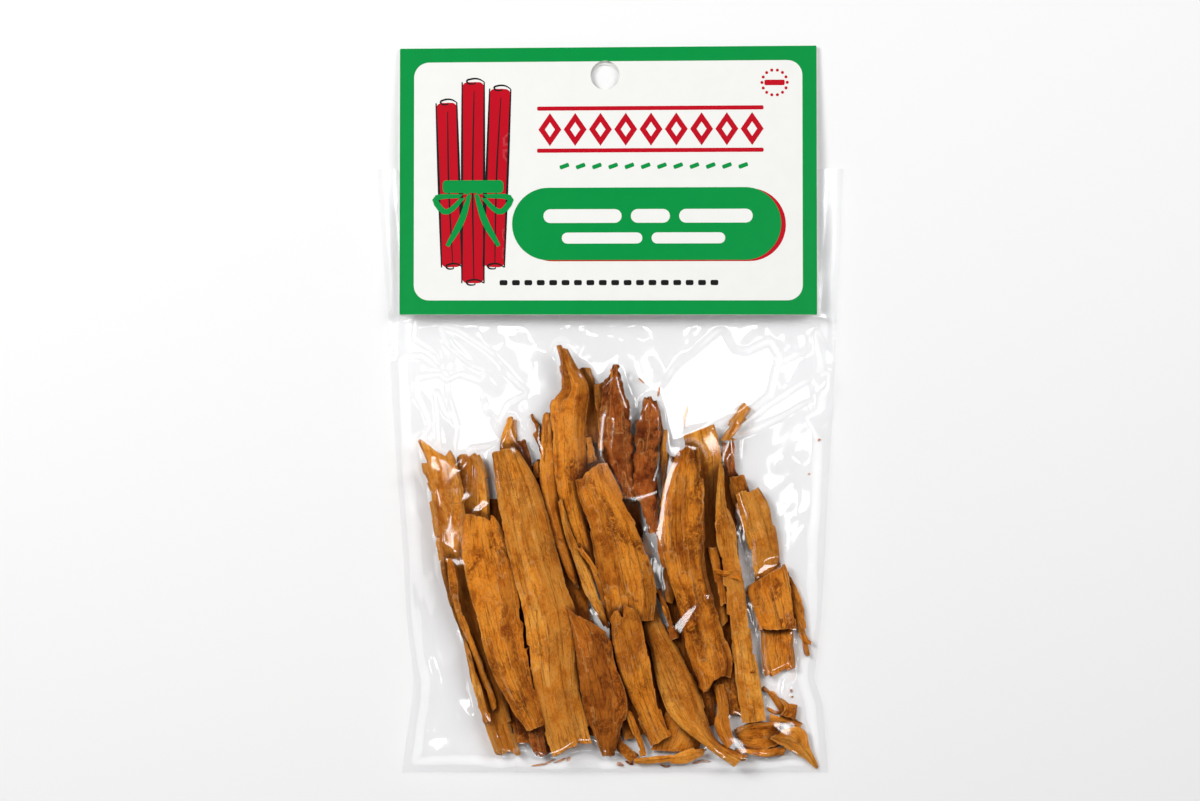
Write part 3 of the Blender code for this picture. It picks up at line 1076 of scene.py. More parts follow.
@dataclass(frozen=True)
class Crumbs:
    """Loose slivers and crumbs of bark, joined in one mesh.

    Attributes:
        spots: Each crumb's x, y, length, width and turn in degrees.
    """

    spots: tuple[tuple[float, float, float, float, float], ...] = (
        (6.8, 6.3, 1.7, 0.4, -35), (45.6, -6.6, 0.8, 0.5, 20), (43.4, -14, 0.5, 0.3, 0),
        (38.8, -56, 0.8, 0.6, 30), (39.4, -61.2, 0.9, 0.5, 70), (39.7, -62.6, 0.5, 0.4, 0),
        (-14.5, -77, 5.6, 0.5, 5), (-11, -76.4, 3, 0.5, 12), (2.2, -77.4, 1.6, 0.8, 0),
        (4.2, -77, 2, 0.5, -20), (-9, -76.2, 1.2, 0.7, 40), (20, -77, 4.2, 0.6, 8),
        (12, -77.6, 2.4, 0.5, -8), (0.3, 7.8, 2.2, 0.5, 82), (10.7, 4, 2.4, 0.35, 78),
        (16.5, -1.5, 5.4, 0.6, 74), (24.5, -35, 4.6, 1.3, -4), (27.4, -36.6, 2.6, 1, -24),
        (12.2, -44, 3.2, 0.8, -62), (10.6, -39.5, 2.6, 0.6, -55), (17.6, -47, 2.2, 1.5, 30),
        (37.6, -47, 1.5, 0.8, -70), (43, -50, 2.6, 1.2, -65), (36, -65.5, 3.8, 0.9, -30),
        (41, -68, 2, 0.7, -20), (31, -57, 1.2, 0.6, 15),
    )

    SECTIONS = 9
    SIDES = 8

    def build(self, pile: HeightMap) -> Object:
        """Scatter the crumbs on the pile.

        Args:
            pile: What they lie on.

        Returns:
            The joined mesh's object.
        """
        points, faces, grains = [], [], []
        for number, (x, y, length, width, turn) in enumerate(self.spots):
            grain = Grain(500 + number)
            along = np.linspace(-0.5, 0.5, self.SECTIONS)[:, None]
            around = np.linspace(0, 2 * math.pi, self.SIDES, endpoint=False)[None, :]
            girth = np.sqrt(np.clip(1.02 - (2 * along) ** 2, 0.02, 1)) * (
                1 + 0.4 * grain.rough(along * 4, around, 2)
            )
            local_x = along * length + 0 * around
            local_y = girth * np.cos(around) * width / 2 + 0.12 * length * grain.at(along * 2, 0 * around)
            local_z = girth * np.sin(around) * width * 0.35
            sine, cosine = math.sin(math.radians(turn)), math.cos(math.radians(turn))
            base = float(pile.at(np.array(x), np.array(y))) + width * 0.4 + 0.05
            first = sum(len(part) for part in points)
            ring_x = x + local_x * cosine - local_y * sine
            ring_y = y + local_x * sine + local_y * cosine
            own = np.full_like(local_x, 40.0 + number)
            points.append(np.stack([ring_x, ring_y, base + local_z], -1).reshape(-1, 3))
            grains.append(np.stack([local_y, local_x, own], -1).reshape(-1, 3))
            faces.append(self.tube_faces(first))
        bark = finish_of(Tone.AMBER)
        obj = make_object("loose_crumbs", np.concatenate(points), np.concatenate(faces), bark)
        grain = obj.data.attributes.new("grain", "FLOAT_VECTOR", "POINT")
        grain.data.foreach_set("vector", np.concatenate(grains).ravel())
        return obj

    def tube_faces(self, first: int) -> Array:
        """Quads round one crumb, with its ends drawn shut.

        Args:
            first: The number of the crumb's first point.

        Returns:
            Rows of four point numbers.
        """
        ring = np.arange(self.SIDES)
        onward = (ring + 1) % self.SIDES
        rows = []
        for section in range(self.SECTIONS - 1):
            near, far = first + section * self.SIDES, first + (section + 1) * self.SIDES
            rows.append(np.stack([near + ring, far + ring, far + onward, near + onward], axis=1))
        last = first + (self.SECTIONS - 1) * self.SIDES
        for start, order in ((first, 1), (last, -1)):
            cap = [(start + i, start + i + 1, start + self.SIDES - 2 - i, start + self.SIDES - 1 - i)
                   for i in range(self.SIDES // 2 - 1)]
            rows.append(np.array(cap)[:, ::order])
        return np.concatenate(rows)


@dataclass(frozen=True)
class Fold:
    """A crease that stands up from the film along a line, with a flat flank on each side.

    Attributes:
        line: The crest's points, x and y in turn.
        rise: How high the crest stands; below 0 it is a valley.
        spread: How wide a flank is.
    """

    line: Run
    rise: float
    spread: float

    def height(self, x: Array, y: Array) -> Array:
        """How much the fold lifts the film.

        Args:
            x: The film's x.
            y: The film's y.

        Returns:
            The lift at each place.
        """
        away, share = far_from_line(x, y, pairs(self.line))
        ends = smoothstep(np.minimum(share, 1 - share) / 0.22)
        return self.rise * ends * np.clip(1 - away / self.spread, 0, 1)


@dataclass(frozen=True)
class Pane:
    """A flat tilted piece of film between creases.

    Attributes:
        outline: Its corners, x and y in turn.
        facing: The direction that it slopes down to, in degrees from +X.
        slope: How steeply it slopes down.
        edge: How far outside the outline the film turns back.
    """

    outline: Run
    facing: float
    slope: float = 0.3
    edge: float = 1.2

    def tilt(self, x: Array, y: Array, z: Array, floor: Array) -> tuple[Array, Array]:
        """Bend the film's heights to the pane.

        Args:
            x: The film's x.
            y: The film's y.
            z: The film's heights.
            floor: The lowest that the film can lie at each place.

        Returns:
            The new heights, and how much each place belongs to the pane.
        """
        outline = pairs(self.outline)
        outside, _ = far_from_line(x, y, outline + outline[:1])
        within = inside_loop(x, y, outline)
        weight = np.where(within, 1.0, 1 - smoothstep(outside / self.edge))
        turn = math.radians(self.facing)
        middle_x, middle_y = np.mean(outline, axis=0)
        down = self.slope * ((x - middle_x) * math.cos(turn) + (y - middle_y) * math.sin(turn))
        level = max(float(z[within].mean()), float(np.percentile((floor + down)[within], 92)))
        return z * (1 - weight) + (level - down) * weight, weight


@dataclass(frozen=True)
class FilmPouch:
    """The clear bag: a front sheet drawn over the bark and a back sheet on the table.

    Attributes:
        columns: Steps across a sheet.
        rows: Steps from the hem to the mouth.
        stations: The outline, as y above the pack's middle and the left and right half widths.
        neck_foot: How high up the pack the part between the card's panels starts.
        clearance: How far the film stays off the bark.
        seam: How wide the welded edge is.
    """

    columns: int = 232
    rows: int = 296
    stations: tuple[tuple[float, float, float], ...] = (
        (52.4, 50.8, 50.8),
        (35.3, 49.6, 50.3),
        (21.0, 48.4, 49.4),
        (3.2, 47.5, 48.7),
        (-14.6, 46.4, 47.7),
        (-32.3, 44.9, 46.7),
        (-45.6, 44.2, 45.9),
        (-58.5, 42.8, 44.5),
        (-64.0, 43.3, 46.4),
        (-79.0, 45.3, 47.5),
    )
    neck_foot: float = 19.5
    clearance: float = 0.22
    seam: float = 1.3

    # Kinds of crease: the space between crests, a crest's length, its direction and its height.
    CREASES = ((11.0, 30.0, 118.0, 1.7), (9.0, 26.0, 62.0, 1.3), (4.5, 14.0, 100.0, 0.5),
               (4.0, 12.0, 35.0, 0.4))
    SHEET_UNDER = 0.72  # height of the back sheet between the card's panels
    SHEET_OVER = 1.25  # height of the front sheet there
    RIM = 1.0  # height of the welded edge
    NECK_SWELL = 1.0  # how far the neck bulges where it starts
    SPAN = 160  # how many smoothings stretch the film over the hollows
    TENT = 6  # how many grid steps the film rounds off an edge by
    BLUR = 24  # how many smoothings fade the hold of the bark on the film

    def plan(self, columns: int, rows: int) -> tuple[Array, Array]:
        """Lay out a sheet's grid.

        Args:
            columns: Steps across.
            rows: Steps up from the hem.

        Returns:
            The grid points' x and y.
        """
        low, high = self.stations[-1][0], self.stations[0][0]
        y = np.repeat(np.linspace(low, high, rows + 1)[:, None], columns + 1, axis=1)
        left, right = (self.side(y[:, 0], side) for side in (1, 2))
        u = np.linspace(0, 1, columns + 1)[None, :]
        return -left[:, None] + (left + right)[:, None] * u, y

    def side(self, y: Array, side: int) -> Array:
        """Half width of the bag.

        Args:
            y: How high up the pack.
            side: 1 for the left side, 2 for the right.

        Returns:
            The half width at each height.
        """
        stations = sorted(self.stations)
        smooth = np.interp(y, [s[0] for s in stations], [s[side] for s in stations])
        return smooth + 0.12 * Grain(70 + side).rough(y / 9.0, np.zeros_like(y), 2)

    def off_rim(self, x: Array, y: Array) -> Array:
        """How far each place is from the bag's sides and hem."""
        to_side = np.minimum(x + self.side(y, 1), self.side(y, 2) - x)
        return np.minimum(to_side, y - self.stations[-1][0])

    def neck(self, x: Array, y: Array) -> Array:
        """Height of the front sheet between the card's panels.

        Args:
            x: The sheet's x.
            y: The sheet's y.

        Returns:
            The height at each place.
        """
        up = smoothstep((y - self.neck_foot) / (self.stations[0][0] - self.neck_foot))
        across = np.clip(np.abs(x) / self.side(y, 1), 0, 1)
        return self.SHEET_OVER + self.NECK_SWELL * (1 - up) * (1 - across**4)

    def taut(self, x: Array, y: Array, floor: Array) -> Array:
        """Pull the front sheet tight from rim to rim over the pile.

        Args:
            x: The sheet's x.
            y: The sheet's y.
            floor: The lowest that the film can lie at each place.

        Returns:
            The film's heights.
        """
        height = None
        for step in (8, 4, 2, 1):
            coarse = floor[::step, ::step]
            neck_here = (y > self.neck_foot)[::step, ::step]
            neck_height = self.neck(x, y)[::step, ::step]
            height = coarse.copy() if height is None else self.doubled(height)
            for _ in range(260):
                height[neck_here] = neck_height[neck_here]
                height[0], height[:, 0], height[:, -1] = self.RIM, self.RIM, self.RIM
                beside = height[1:-1, 2:] + height[1:-1, :-2]
                along = height[2:, 1:-1] + height[:-2, 1:-1]
                height[1:-1, 1:-1] = np.maximum((beside + along) / 4, coarse[1:-1, 1:-1])
        return height

    def bridged(self, z: Array, floor: Array) -> Array:
        """Let the film span the hollows between splints instead of following each one.

        Args:
            z: The film's heights.
            floor: The lowest that the film can lie at each place.

        Returns:
            The new heights.
        """
        high = floor > self.RIM + 1.0
        for _ in range(5):
            z = np.where(high, np.maximum(z, floor + 0.35), z)
            for _ in range(self.SPAN):
                z[1:-1] = (z[:-2] + 2 * z[1:-1] + z[2:]) / 4
                z[:, 1:-1] = (z[:, :-2] + 2 * z[:, 1:-1] + z[:, 2:]) / 4
        return np.maximum(z, floor)

    @staticmethod
    def doubled(height: Array) -> Array:
        """Put a point between each two of a grid.

        Args:
            height: The grid's heights.

        Returns:
            The finer grid's heights.
        """
        rows, columns = (2 * count - 1 for count in height.shape)
        wide = np.zeros((height.shape[0], columns))
        wide[:, ::2] = height
        wide[:, 1::2] = (height[:, 1:] + height[:, :-1]) / 2
        full = np.zeros((rows, columns))
        full[::2] = wide
        full[1::2] = (wide[1:] + wide[:-1]) / 2
        return full

    @staticmethod
    def facets(x: Array, y: Array, size: float, rise: float, seed: int, stretch: float = 1.6) -> Array:
        """Crumple: flat triangles of random tilt that meet at sharp creases.

        Args:
            x: The film's x.
            y: The film's y.
            size: How wide a facet is.
            rise: How high its corners lie at most.
            seed: Picks one crumple out of many.
            stretch: How much longer than wide a facet is.

        Returns:
            Heights to add to the film.
        """
        draw = np.random.default_rng(seed)
        across = np.arange(-60.0, 60.0 + size, size)
        up = np.arange(-90.0, 62.0 + size * stretch, size * stretch)
        corners = np.stack(np.meshgrid(across, up), axis=-1).reshape(-1, 2)
        corners += draw.uniform(-0.45, 0.45, corners.shape) * (size, size * stretch)
        heights = draw.uniform(-rise, rise, len(corners))
        flat, _, triangles, origins, _, _ = delaunay_2d_cdt([Vector(c) for c in corners], [], [], 0, 1e-6)
        tops = [Vector((p.x, p.y, heights[origin[0]])) for p, origin in zip(flat, origins)]
        tree = BVHTree.FromPolygons(tops, triangles)
        down = Vector((0.0, 0.0, -1.0))
        hits = [tree.ray_cast(Vector((a, b, 9.0)), down)[0] for a, b in zip(x.ravel(), y.ravel())]
        return np.array([hit.z if hit else 0.0 for hit in hits]).reshape(x.shape)

    @staticmethod
    def crests(x: Array, y: Array, across: float, along: float, turn: float, seed: int) -> Array:
        """Crumple with sharp long crests and soft flanks.

        Args:
            x: The film's x.
            y: The film's y.
            across: How far crests are from each other.
            along: How long a crest runs.
            turn: The crests' direction, in degrees from +X.
            seed: Picks one crumple out of many.

        Returns:
            Heights from 0 to 1.
        """
        cosine, sine = math.cos(math.radians(turn)), math.sin(math.radians(turn))
        grain = Grain(seed)
        run, aside = x * cosine + y * sine, y * cosine - x * sine
        bend = 0.5 * grain.rough(run / (2 * along) + 7, aside / along + 3, 2)
        return 1 - np.abs(grain.rough(run / along + 40, aside / across + bend + 40, 2))

    def front(self, pile: HeightMap) -> tuple[Array, Array, Array]:
        """Shape the front sheet.

        Args:
            pile: The bark under it.

        Returns:
            Its x, y and z.
        """
        x, y = self.plan(self.columns, self.rows)
        bark = self.closed(pile.at(x, y))
        inside = self.off_rim(x, y)
        floor = np.where(bark > 0, bark + self.clearance, 0.0)
        floor = np.minimum(floor, self.RIM + 1.3 * np.maximum(inside, 0))
        z = self.taut(x, y, np.maximum(floor, self.RIM - 0.2))
        z = self.bridged(z, floor)
        in_neck = smoothstep((y - self.neck_foot + 1.5) / 3.0)
        covered = np.where(pile.at(x, y) > 0.3, 1.0, 0.0)
        for _ in range(self.BLUR):
            covered = self.softened(covered)
        loose = smoothstep((0.9 - covered) / 0.8)
        calm = np.ones_like(z)
        for pane in PANES:
            z, weight = pane.tilt(x, y, z, floor)
            calm *= 1 - 0.85 * weight
        for fold in FOLDS:
            z = z + fold.height(x, y) * (1 - in_neck)
        held = smoothstep((inside - self.seam) / 3.0) * (1 - 0.85 * in_neck)
        crumple = self.facets(x, y, 8.0, 0.95, 11) + self.facets(x, y, 3.8, 0.26, 12, 1.3)
        for number, (across, along, turn, rise) in enumerate(self.CREASES):
            crumple += rise * self.crests(x, y, across, along, turn, 90 + number)
        z = z + crumple * held * (0.03 + 0.97 * loose) * calm
        z = np.maximum(z, np.minimum(floor, z + 3.0))
        weld = self.RIM + 0.07 * np.sin(y * 5.0) * smoothstep((self.seam - inside) / 0.4)
        z = np.where((inside < self.seam) & (y < self.neck_foot), np.minimum(z, weld + 0.5 * inside), z)
        neck_top = self.neck(x, y)
        z = np.where(y > self.neck_foot, np.minimum(z, neck_top + 0.25), z)
        return x, y, self.softened(z)

    def closed(self, bark: Array) -> Array:
        """The smooth top that stiff film makes over the bark, nowhere under it.

        Args:
            bark: The bark's heights.

        Returns:
            Heights that round off every edge and span the narrow gaps.
        """
        top = bark
        for _ in range(self.TENT):
            along = np.maximum(top[2:, 1:-1], top[:-2, 1:-1])
            across = np.maximum(top[1:-1, 2:], top[1:-1, :-2])
            top = top.copy()
            top[1:-1, 1:-1] = np.maximum(top[1:-1, 1:-1], np.maximum(along, across))
        for axis in (0, 1):
            for _ in range(3):
                steps = range(-self.TENT // 3, self.TENT // 3 + 1)
                top = np.mean([np.roll(top, step, axis) for step in steps], axis=0)
        return np.maximum(top, bark)

    @staticmethod
    def softened(z: Array) -> Array:
        """Average each height a little with those beside it.

        Args:
            z: Heights on a grid.

        Returns:
            The new heights.
        """
        out = z.copy()
        out[1:-1, 1:-1] = 0.5 * z[1:-1, 1:-1] + 0.125 * (
            z[2:, 1:-1] + z[:-2, 1:-1] + z[1:-1, 2:] + z[1:-1, :-2]
        )
        return out

    def back(self) -> tuple[Array, Array, Array]:
        """Shape the back sheet: flat on the table, and lifted to the rim and the neck.

        Returns:
            Its x, y and z.
        """
        x, y = self.plan(self.columns // 2, self.rows // 2)
        inside = np.minimum(self.off_rim(x, y), np.maximum(self.neck_foot - y, 0))
        lift = 1 - smoothstep(inside / 7.0)
        creases = self.facets(x, y, 7.0, 0.12, 21) * (1 - lift)
        top = np.where(y > self.neck_foot, self.SHEET_UNDER, self.RIM - 0.04)
        return x, y, np.maximum(0.14 + creases + (top - 0.14) * lift, 0.02)

    def build(self, pile: HeightMap) -> Object:
        """Make the bag over the pile.

        Args:
            pile: The bark in it.

        Returns:
            The bag's object.
        """
        front = np.stack(self.front(pile), axis=-1)
        back = np.stack(self.back(), axis=-1)
        points = np.concatenate([front.reshape(-1, 3), back.reshape(-1, 3)])
        back_faces = grid_faces(back.shape[0], back.shape[1], front.shape[0] * front.shape[1])
        faces = np.concatenate([grid_faces(front.shape[0], front.shape[1]), back_faces[:, ::-1]])
        return make_object("clear_film_bag", points, faces, FilmFinish().material())


PANES = (
    Pane((1, -2, 9.5, -2.5, 10.5, -9, 10, -15, 5, -17, 0.5, -9), facing=31, slope=0.04, edge=2.6),
    Pane((24, 16.5, 26.3, 12.6, 29.5, 11.7, 34.4, 13.9, 36, 11.3, 34, 3.6, 30.8, 1, 23.4, -2.4, 17, -4.8,
        13.1, -8.2, 12.1, -1.6, 11.8, 4.6, 14, 8.1), facing=33, edge=1.8),
    Pane((15.3, -7.5, 12.8, -8, 11.8, -14.5, 10.8, -20.6, 9.6, -26.4, 8.4, -29, 9.6, -32, 11.2, -31.6,
        11.8, -25.4, 12.4, -19, 14, -12.5), facing=149, edge=0.9),
    Pane((8.6, -31.5, 10.1, -31, 12.2, -39, 11.2, -40.5), facing=149, edge=0.7),
    Pane((13.7, -46.5, 16.6, -43, 17.9, -41.7, 21.1, -41, 19.2, -42.3, 16.9, -46.2, 15, -49.4, 14.3, -47.8),
        facing=147, edge=0.7),
    Pane((26.5, -17, 28, -17.5, 29.6, -23, 31, -30, 30.2, -32, 28.4, -25, 27.2, -20), facing=31, slope=0.25,
        edge=0.8),
    Pane((29.8, -35.6, 34, -33.3, 37.2, -32.8, 36.4, -34.2, 32.7, -35.7, 30.1, -36.3), facing=147, edge=0.6),
    Pane((49.2, 8.4, 42.4, 5.5, 34.4, 0.4, 30.5, -2.5, 27.9, -4.8, 31.5, -3.7, 36, -1.6, 44, 2.9, 49.2, 6.3),
        facing=147, edge=1),
    Pane((-36.4, 17.8, -33.6, 17.1, -26.3, 12.4, -22.3, 8.1, -24.2, 7.7, -28.1, 9.2, -31.4, 11, -34.3, 13.5,
        -35.7, 15.3), facing=149, edge=0.8),
    Pane((-48, 19.6, -42.6, 20, -43, 15.3, -37.9, 12, -37.2, 9.5, -40.8, 12, -46.9, 11.7), facing=149,
        edge=0.8),
    Pane((-35.4, 5.9, -32.8, 7.3, -28.1, 5.9, -27.4, 0.8, -25.2, -3.5, -24.2, -6.4, -26.3, -7.5, -30.7, -8.2,
        -32.1, -12.2, -33, -11.8, -33.2, -7.1, -32.8, -3.5, -33.9, 0.1, -35, 3.7), facing=149, edge=0.8),
    Pane((-27, 7.3, -22.7, 7.3, -18.7, 3.7, -22.7, 1.6, -24.2, -2.1, -26.3, 0.1, -27, 3), facing=149,
        edge=1.2),
    Pane((-41.5, 6.6, -37.2, 7.3, -35.7, 5.9, -35, -1, -35.7, 0.1, -37.2, 3.7, -38.3, 4.5, -37.5, -8.2,
        -40.4, -6.4, -38.6, -3.5, -40.1, 0.8, -41.5, 3.4), facing=149, edge=0.8),
    Pane((-34.9, -21.8, -34, -22.1, -34.1, -28.1, -33.4, -29.4, -34.6, -31.3, -35.4, -29), facing=149,
        edge=0.6),
    Pane((-25.4, -69.8, -22.3, -70.4, -21.7, -71.7, -23.4, -72), facing=149, edge=0.6),
    Pane((45, 16.5, 47.3, 13, 48, 9.5, 46.6, 9.8, 45.3, 13), facing=31, edge=0.8),
    Pane((43, -1.9, 46, -0.5, 47.2, -4, 45.4, -6), facing=31, edge=0.8),
    Pane((36.6, -61, 37.2, -58.5, 39.2, -56.9, 38.4, -60, 37.2, -62.7), facing=31, edge=0.7),
)

FOLDS = (
    Fold((27.8, -5, 25.4, -10.8, 26.3, -15.8, 28.2, -23, 30.4, -32), 0.5, 0.9),
    Fold((24.6, -5.6, 27.8, -4.9), 0.4, 0.8),
    Fold((29, -31, 30.4, -33, 29.3, -36.2), 0.4, 0.8),
    Fold((-36, 17.5, -30, 11, -22.5, 3), 0.9, 2.8),
    Fold((-45, 4, -40, -1, -38, -9), 0.8, 2.8),
    Fold((-34.9, -17, -32, -12.5, -29.7, -9.4, -29.7, -18.5, -33.5, -21.5), 0.5, 1.1),
    Fold((-29.5, -23, -26.1, -20.2, -24, -20.3), 0.5, 0.9),
    Fold((-44.5, -33, -40.5, -55, -35.1, -62.6), 0.8, 2.8),
    Fold((-43, -33.5, -39, -50, -35.1, -62.4), -0.6, 2),
    Fold((-38.5, -31.5, -37, -43, -34.8, -62), 0.8, 2.8),
    Fold((-31, -64.4, -30.8, -71, -31, -73.5), 0.7, 2.6),
    Fold((-43.8, -77.5, -37, -74, -31, -72.9), 0.8, 2.8),
    Fold((-31, -72.9, -26, -76.5, -22, -78.3), 0.6, 2.2),
    Fold((-34, -62.8, -29, -67, -24, -71.5), 0.6, 2.2),
    Fold((-20, 18.5, -4, 17.2, 12, 14.2), -0.9, 3.2),
    Fold((-6, 17, 1, 18.2, 6, 15.5), 0.6, 2),
    Fold((38.5, -9.5, 42, -12, 43.5, -20, 43, -28), 0.8, 2.8),
    Fold((45, 8, 45.6, 2, 44.5, -3), 0.8, 2.4),
    Fold((43.5, -57.5, 38, -59.5, 36, -64), 0.8, 2.4),
    Fold((33.5, -67, 41.5, -74, 47, -78.6), 0.7, 1.6),
    Fold((44, -34, 44.8, -44, 43, -56), 0.7, 2),
    Fold((18, -75, 24, -76.6, 34, -77.4), 0.6, 1.8),
)


def rounded_box(low: Point, high: Point, radius: float, steps: int = 8) -> Line:
    """Outline of a rectangle with round corners.

    Args:
        low: Lowest x and y.
        high: Highest x and y.
        radius: The corners' radius.
        steps: Straight runs to a corner.

    Returns:
        The outline's points, anticlockwise.
    """
    centres = (
        (high[0] - radius, high[1] - radius, 0),
        (low[0] + radius, high[1] - radius, 90),
        (low[0] + radius, low[1] + radius, 180),
        (high[0] - radius, low[1] + radius, 270),
    )
    return tuple(
        (x + radius * math.cos(math.radians(start + 90 * step / steps)),
         y + radius * math.sin(math.radians(start + 90 * step / steps)))
        for x, y, start in centres
        for step in range(steps + 1)
    )


def dense(loop: Line, step: float = 2.0) -> Line:
    """Put more points on an outline's long runs, so that a field of ink can bend with its panel.

    Args:
        loop: The outline's corners.
        step: The longest run that is left.

    Returns:
        The outline with the added points.
    """
    points = []
    for start, end in zip(loop, loop[1:] + loop[:1]):
        count = max(1, math.ceil(math.dist(start, end) / step))
        points += [tuple(np.add(start, np.subtract(end, start) * i / count).tolist()) for i in range(count)]
    return tuple(points)


def disc(x: float, y: float, radius: float, steps: int = 40) -> Line:
    """Outline of a circle."""
    turns = (2 * math.pi * step / steps for step in range(steps))
    return tuple((x + radius * math.cos(turn), y + radius * math.sin(turn)) for turn in turns)


def stroke(points: Line, width: float) -> Line:
    """Outline of a line drawn with a pen, narrower at its ends.

    Args:
        points: The line's points.
        width: The pen's width.

    Returns:
        The outline's points.
    """
    shares = np.linspace(0, 1, max(4, 4 * len(points)))
    path = along_curve(points, shares)
    run = np.gradient(path, axis=0)
    aside = np.stack([-run[:, 1], run[:, 0]], axis=1) / np.linalg.norm(run, axis=1, keepdims=True)
    half = width / 2 * (0.55 + 0.45 * np.sin(np.pi * shares)[:, None])
    there, back = path + aside * half, (path - aside * half)[::-1]
    return tuple(map(tuple, np.concatenate([there, back]).tolist()))


def turned(outline: Line, degrees: float, x: float, y: float) -> Line:
    """Turn an outline about the origin, then move it to x and y."""
    cosine, sine = math.cos(math.radians(degrees)), math.sin(math.radians(degrees))
    return tuple((x + a * cosine - b * sine, y + a * sine + b * cosine) for a, b in outline)


@dataclass(frozen=True)
class HeaderCard:
    """The board folded over the bag's mouth, with its fields of ink on both faces.

    Attributes:
        low: Lowest x and y of the card, from the frame.
        high: Highest x and y.
        thick: The board's thickness.
        margin: How wide the coloured border is.
        corner: Radius of the white field's corners.
        hole: The hang hole's x and its drop below the fold.
        hole_radius: The hang hole's radius.
    """

    low: Point
    high: Point
    thick: float = 0.36
    margin: float = 3.15
    corner: float = 3.3
    hole: Point = (-1.1, 6.2)
    hole_radius: float = 3.15

    LIFT = 4.2  # height of the front panel's foot
    FOLD = 0.9  # height of its top
    BACK = 0.22  # height of the back panel
    SKEW = 0.35  # how far the fold is out of square
    INK = 0.018  # thickness of a layer of ink
    BACK_DROP = 0.75  # how much lower the back panel's hole sits
    GRID = 2.2  # space between the points inside a field of ink

    def tilt(self, x: Array, y: Array) -> Array:
        """How far the card's rows lean, as the fold isn't quite square."""
        up = (y - self.low[1]) / (self.high[1] - self.low[1])
        return self.SKEW * up * (2 * (x - self.low[0]) / (self.high[0] - self.low[0]) - 1.0)

    def front_z(self, x: Array, y: Array) -> Array:
        """Height of the front panel's middle: it rises from the fold and bows a little.

        Args:
            x: Places' x.
            y: Places' y.

        Returns:
            The height at each place.
        """
        down = (self.high[1] - y) / (self.high[1] - self.low[1])
        bow = 1 - (2 * (x - self.low[0]) / (self.high[0] - self.low[0]) - 1) ** 2
        return self.FOLD + (self.LIFT - self.FOLD) * down + 0.45 * bow * down

    def back_z(self, x: Array, y: Array) -> Array:
        """Height of the back panel's middle, flat on the table."""
        return np.full(np.broadcast(x, y).shape, self.BACK)

    def board(self, paper: Material) -> Object:
        """Make the folded board, and punch each panel.

        Args:
            paper: What the board is made of.

        Returns:
            The board's object.
        """
        columns, steps, turns = 46, 36, 9
        x = np.linspace(self.low[0], self.high[0], columns + 1)
        radius = (self.FOLD - self.BACK) / 2
        fold_y = self.high[1] - self.SKEW - radius - self.thick / 2
        up = np.linspace(self.low[1], fold_y, steps + 1)
        turn = np.linspace(-90, 90, turns + 2)[1:-1]
        rows = [(x, np.full_like(x, y), self.back_z(x, y)) for y in up]
        for angle in np.radians(turn):
            height = self.BACK + radius * (1 + math.sin(angle))
            rows.append((x, np.full_like(x, fold_y + radius * math.cos(angle)), np.full_like(x, height)))
        rows += [(x, np.full_like(x, y), self.front_z(x, np.full_like(x, y))) for y in up[::-1]]
        points = np.array([np.stack([a, b + self.tilt(a, b), c], axis=-1) for a, b, c in rows])
        board = make_object("card_board", points.reshape(-1, 3), grid_faces(len(rows), columns + 1), paper)
        thicken = board.modifiers.new("thickness", "SOLIDIFY")
        thicken.thickness, thicken.offset = self.thick * MM, 0.0
        thicken.use_even_offset = True
        for number, (drop, bottom, top) in enumerate(((0.0, 0.72, 6.0), (self.BACK_DROP, -1.0, 0.62))):
            self.punch(board, number, drop, bottom, top)
        return self.applied(board)

    def punch(self, board: Object, number: int, drop: float, bottom: float, top: float) -> None:
        """Cut the hang hole through one panel.

        Args:
            board: The board.
            number: Which cut this is.
            drop: How much lower than the front panel's hole this one sits.
            bottom: Where the cut starts.
            top: Where it ends.
        """
        ring = np.array(disc(self.hole[0], self.high[1] - self.hole[1] - drop, self.hole_radius, 64))
        count = len(ring)
        points = np.concatenate([np.c_[ring, np.full(count, level)] for level in (bottom, top)])
        onward = (np.arange(count) + 1) % count
        sides = [[i, int(n), int(n) + count, i + count] for i, n in enumerate(onward)]
        faces = sides + [list(range(count))[::-1], [i + count for i in range(count)]]
        mesh = bpy.data.meshes.new(f"punch_{number}")
        mesh.from_pydata((points * MM).tolist(), [], faces)
        cutter = bpy.data.objects.new(f"punch_{number}", mesh)
        bpy.context.scene.collection.objects.link(cutter)
        cut = board.modifiers.new(f"punch_{number}", "BOOLEAN")
        cut.operation, cut.solver, cut.object = "DIFFERENCE", "EXACT", cutter

    @staticmethod
    def applied(board: Object) -> Object:
        """Fix the modifiers' result in the board's mesh, and remove the cutters.

        Args:
            board: The board with its modifiers.

        Returns:
            The board without them.
        """
        bpy.context.view_layer.update()
        shaped = board.evaluated_get(bpy.context.evaluated_depsgraph_get())
        mesh = bpy.data.meshes.new_from_object(shaped)
        cutters = [modifier.object for modifier in board.modifiers if modifier.type == "BOOLEAN"]
        board.modifiers.clear()
        board.data = mesh
        for cutter in cutters:
            bpy.data.objects.remove(cutter)
        mesh.set_sharp_from_angle(angle=math.radians(35))
        return board

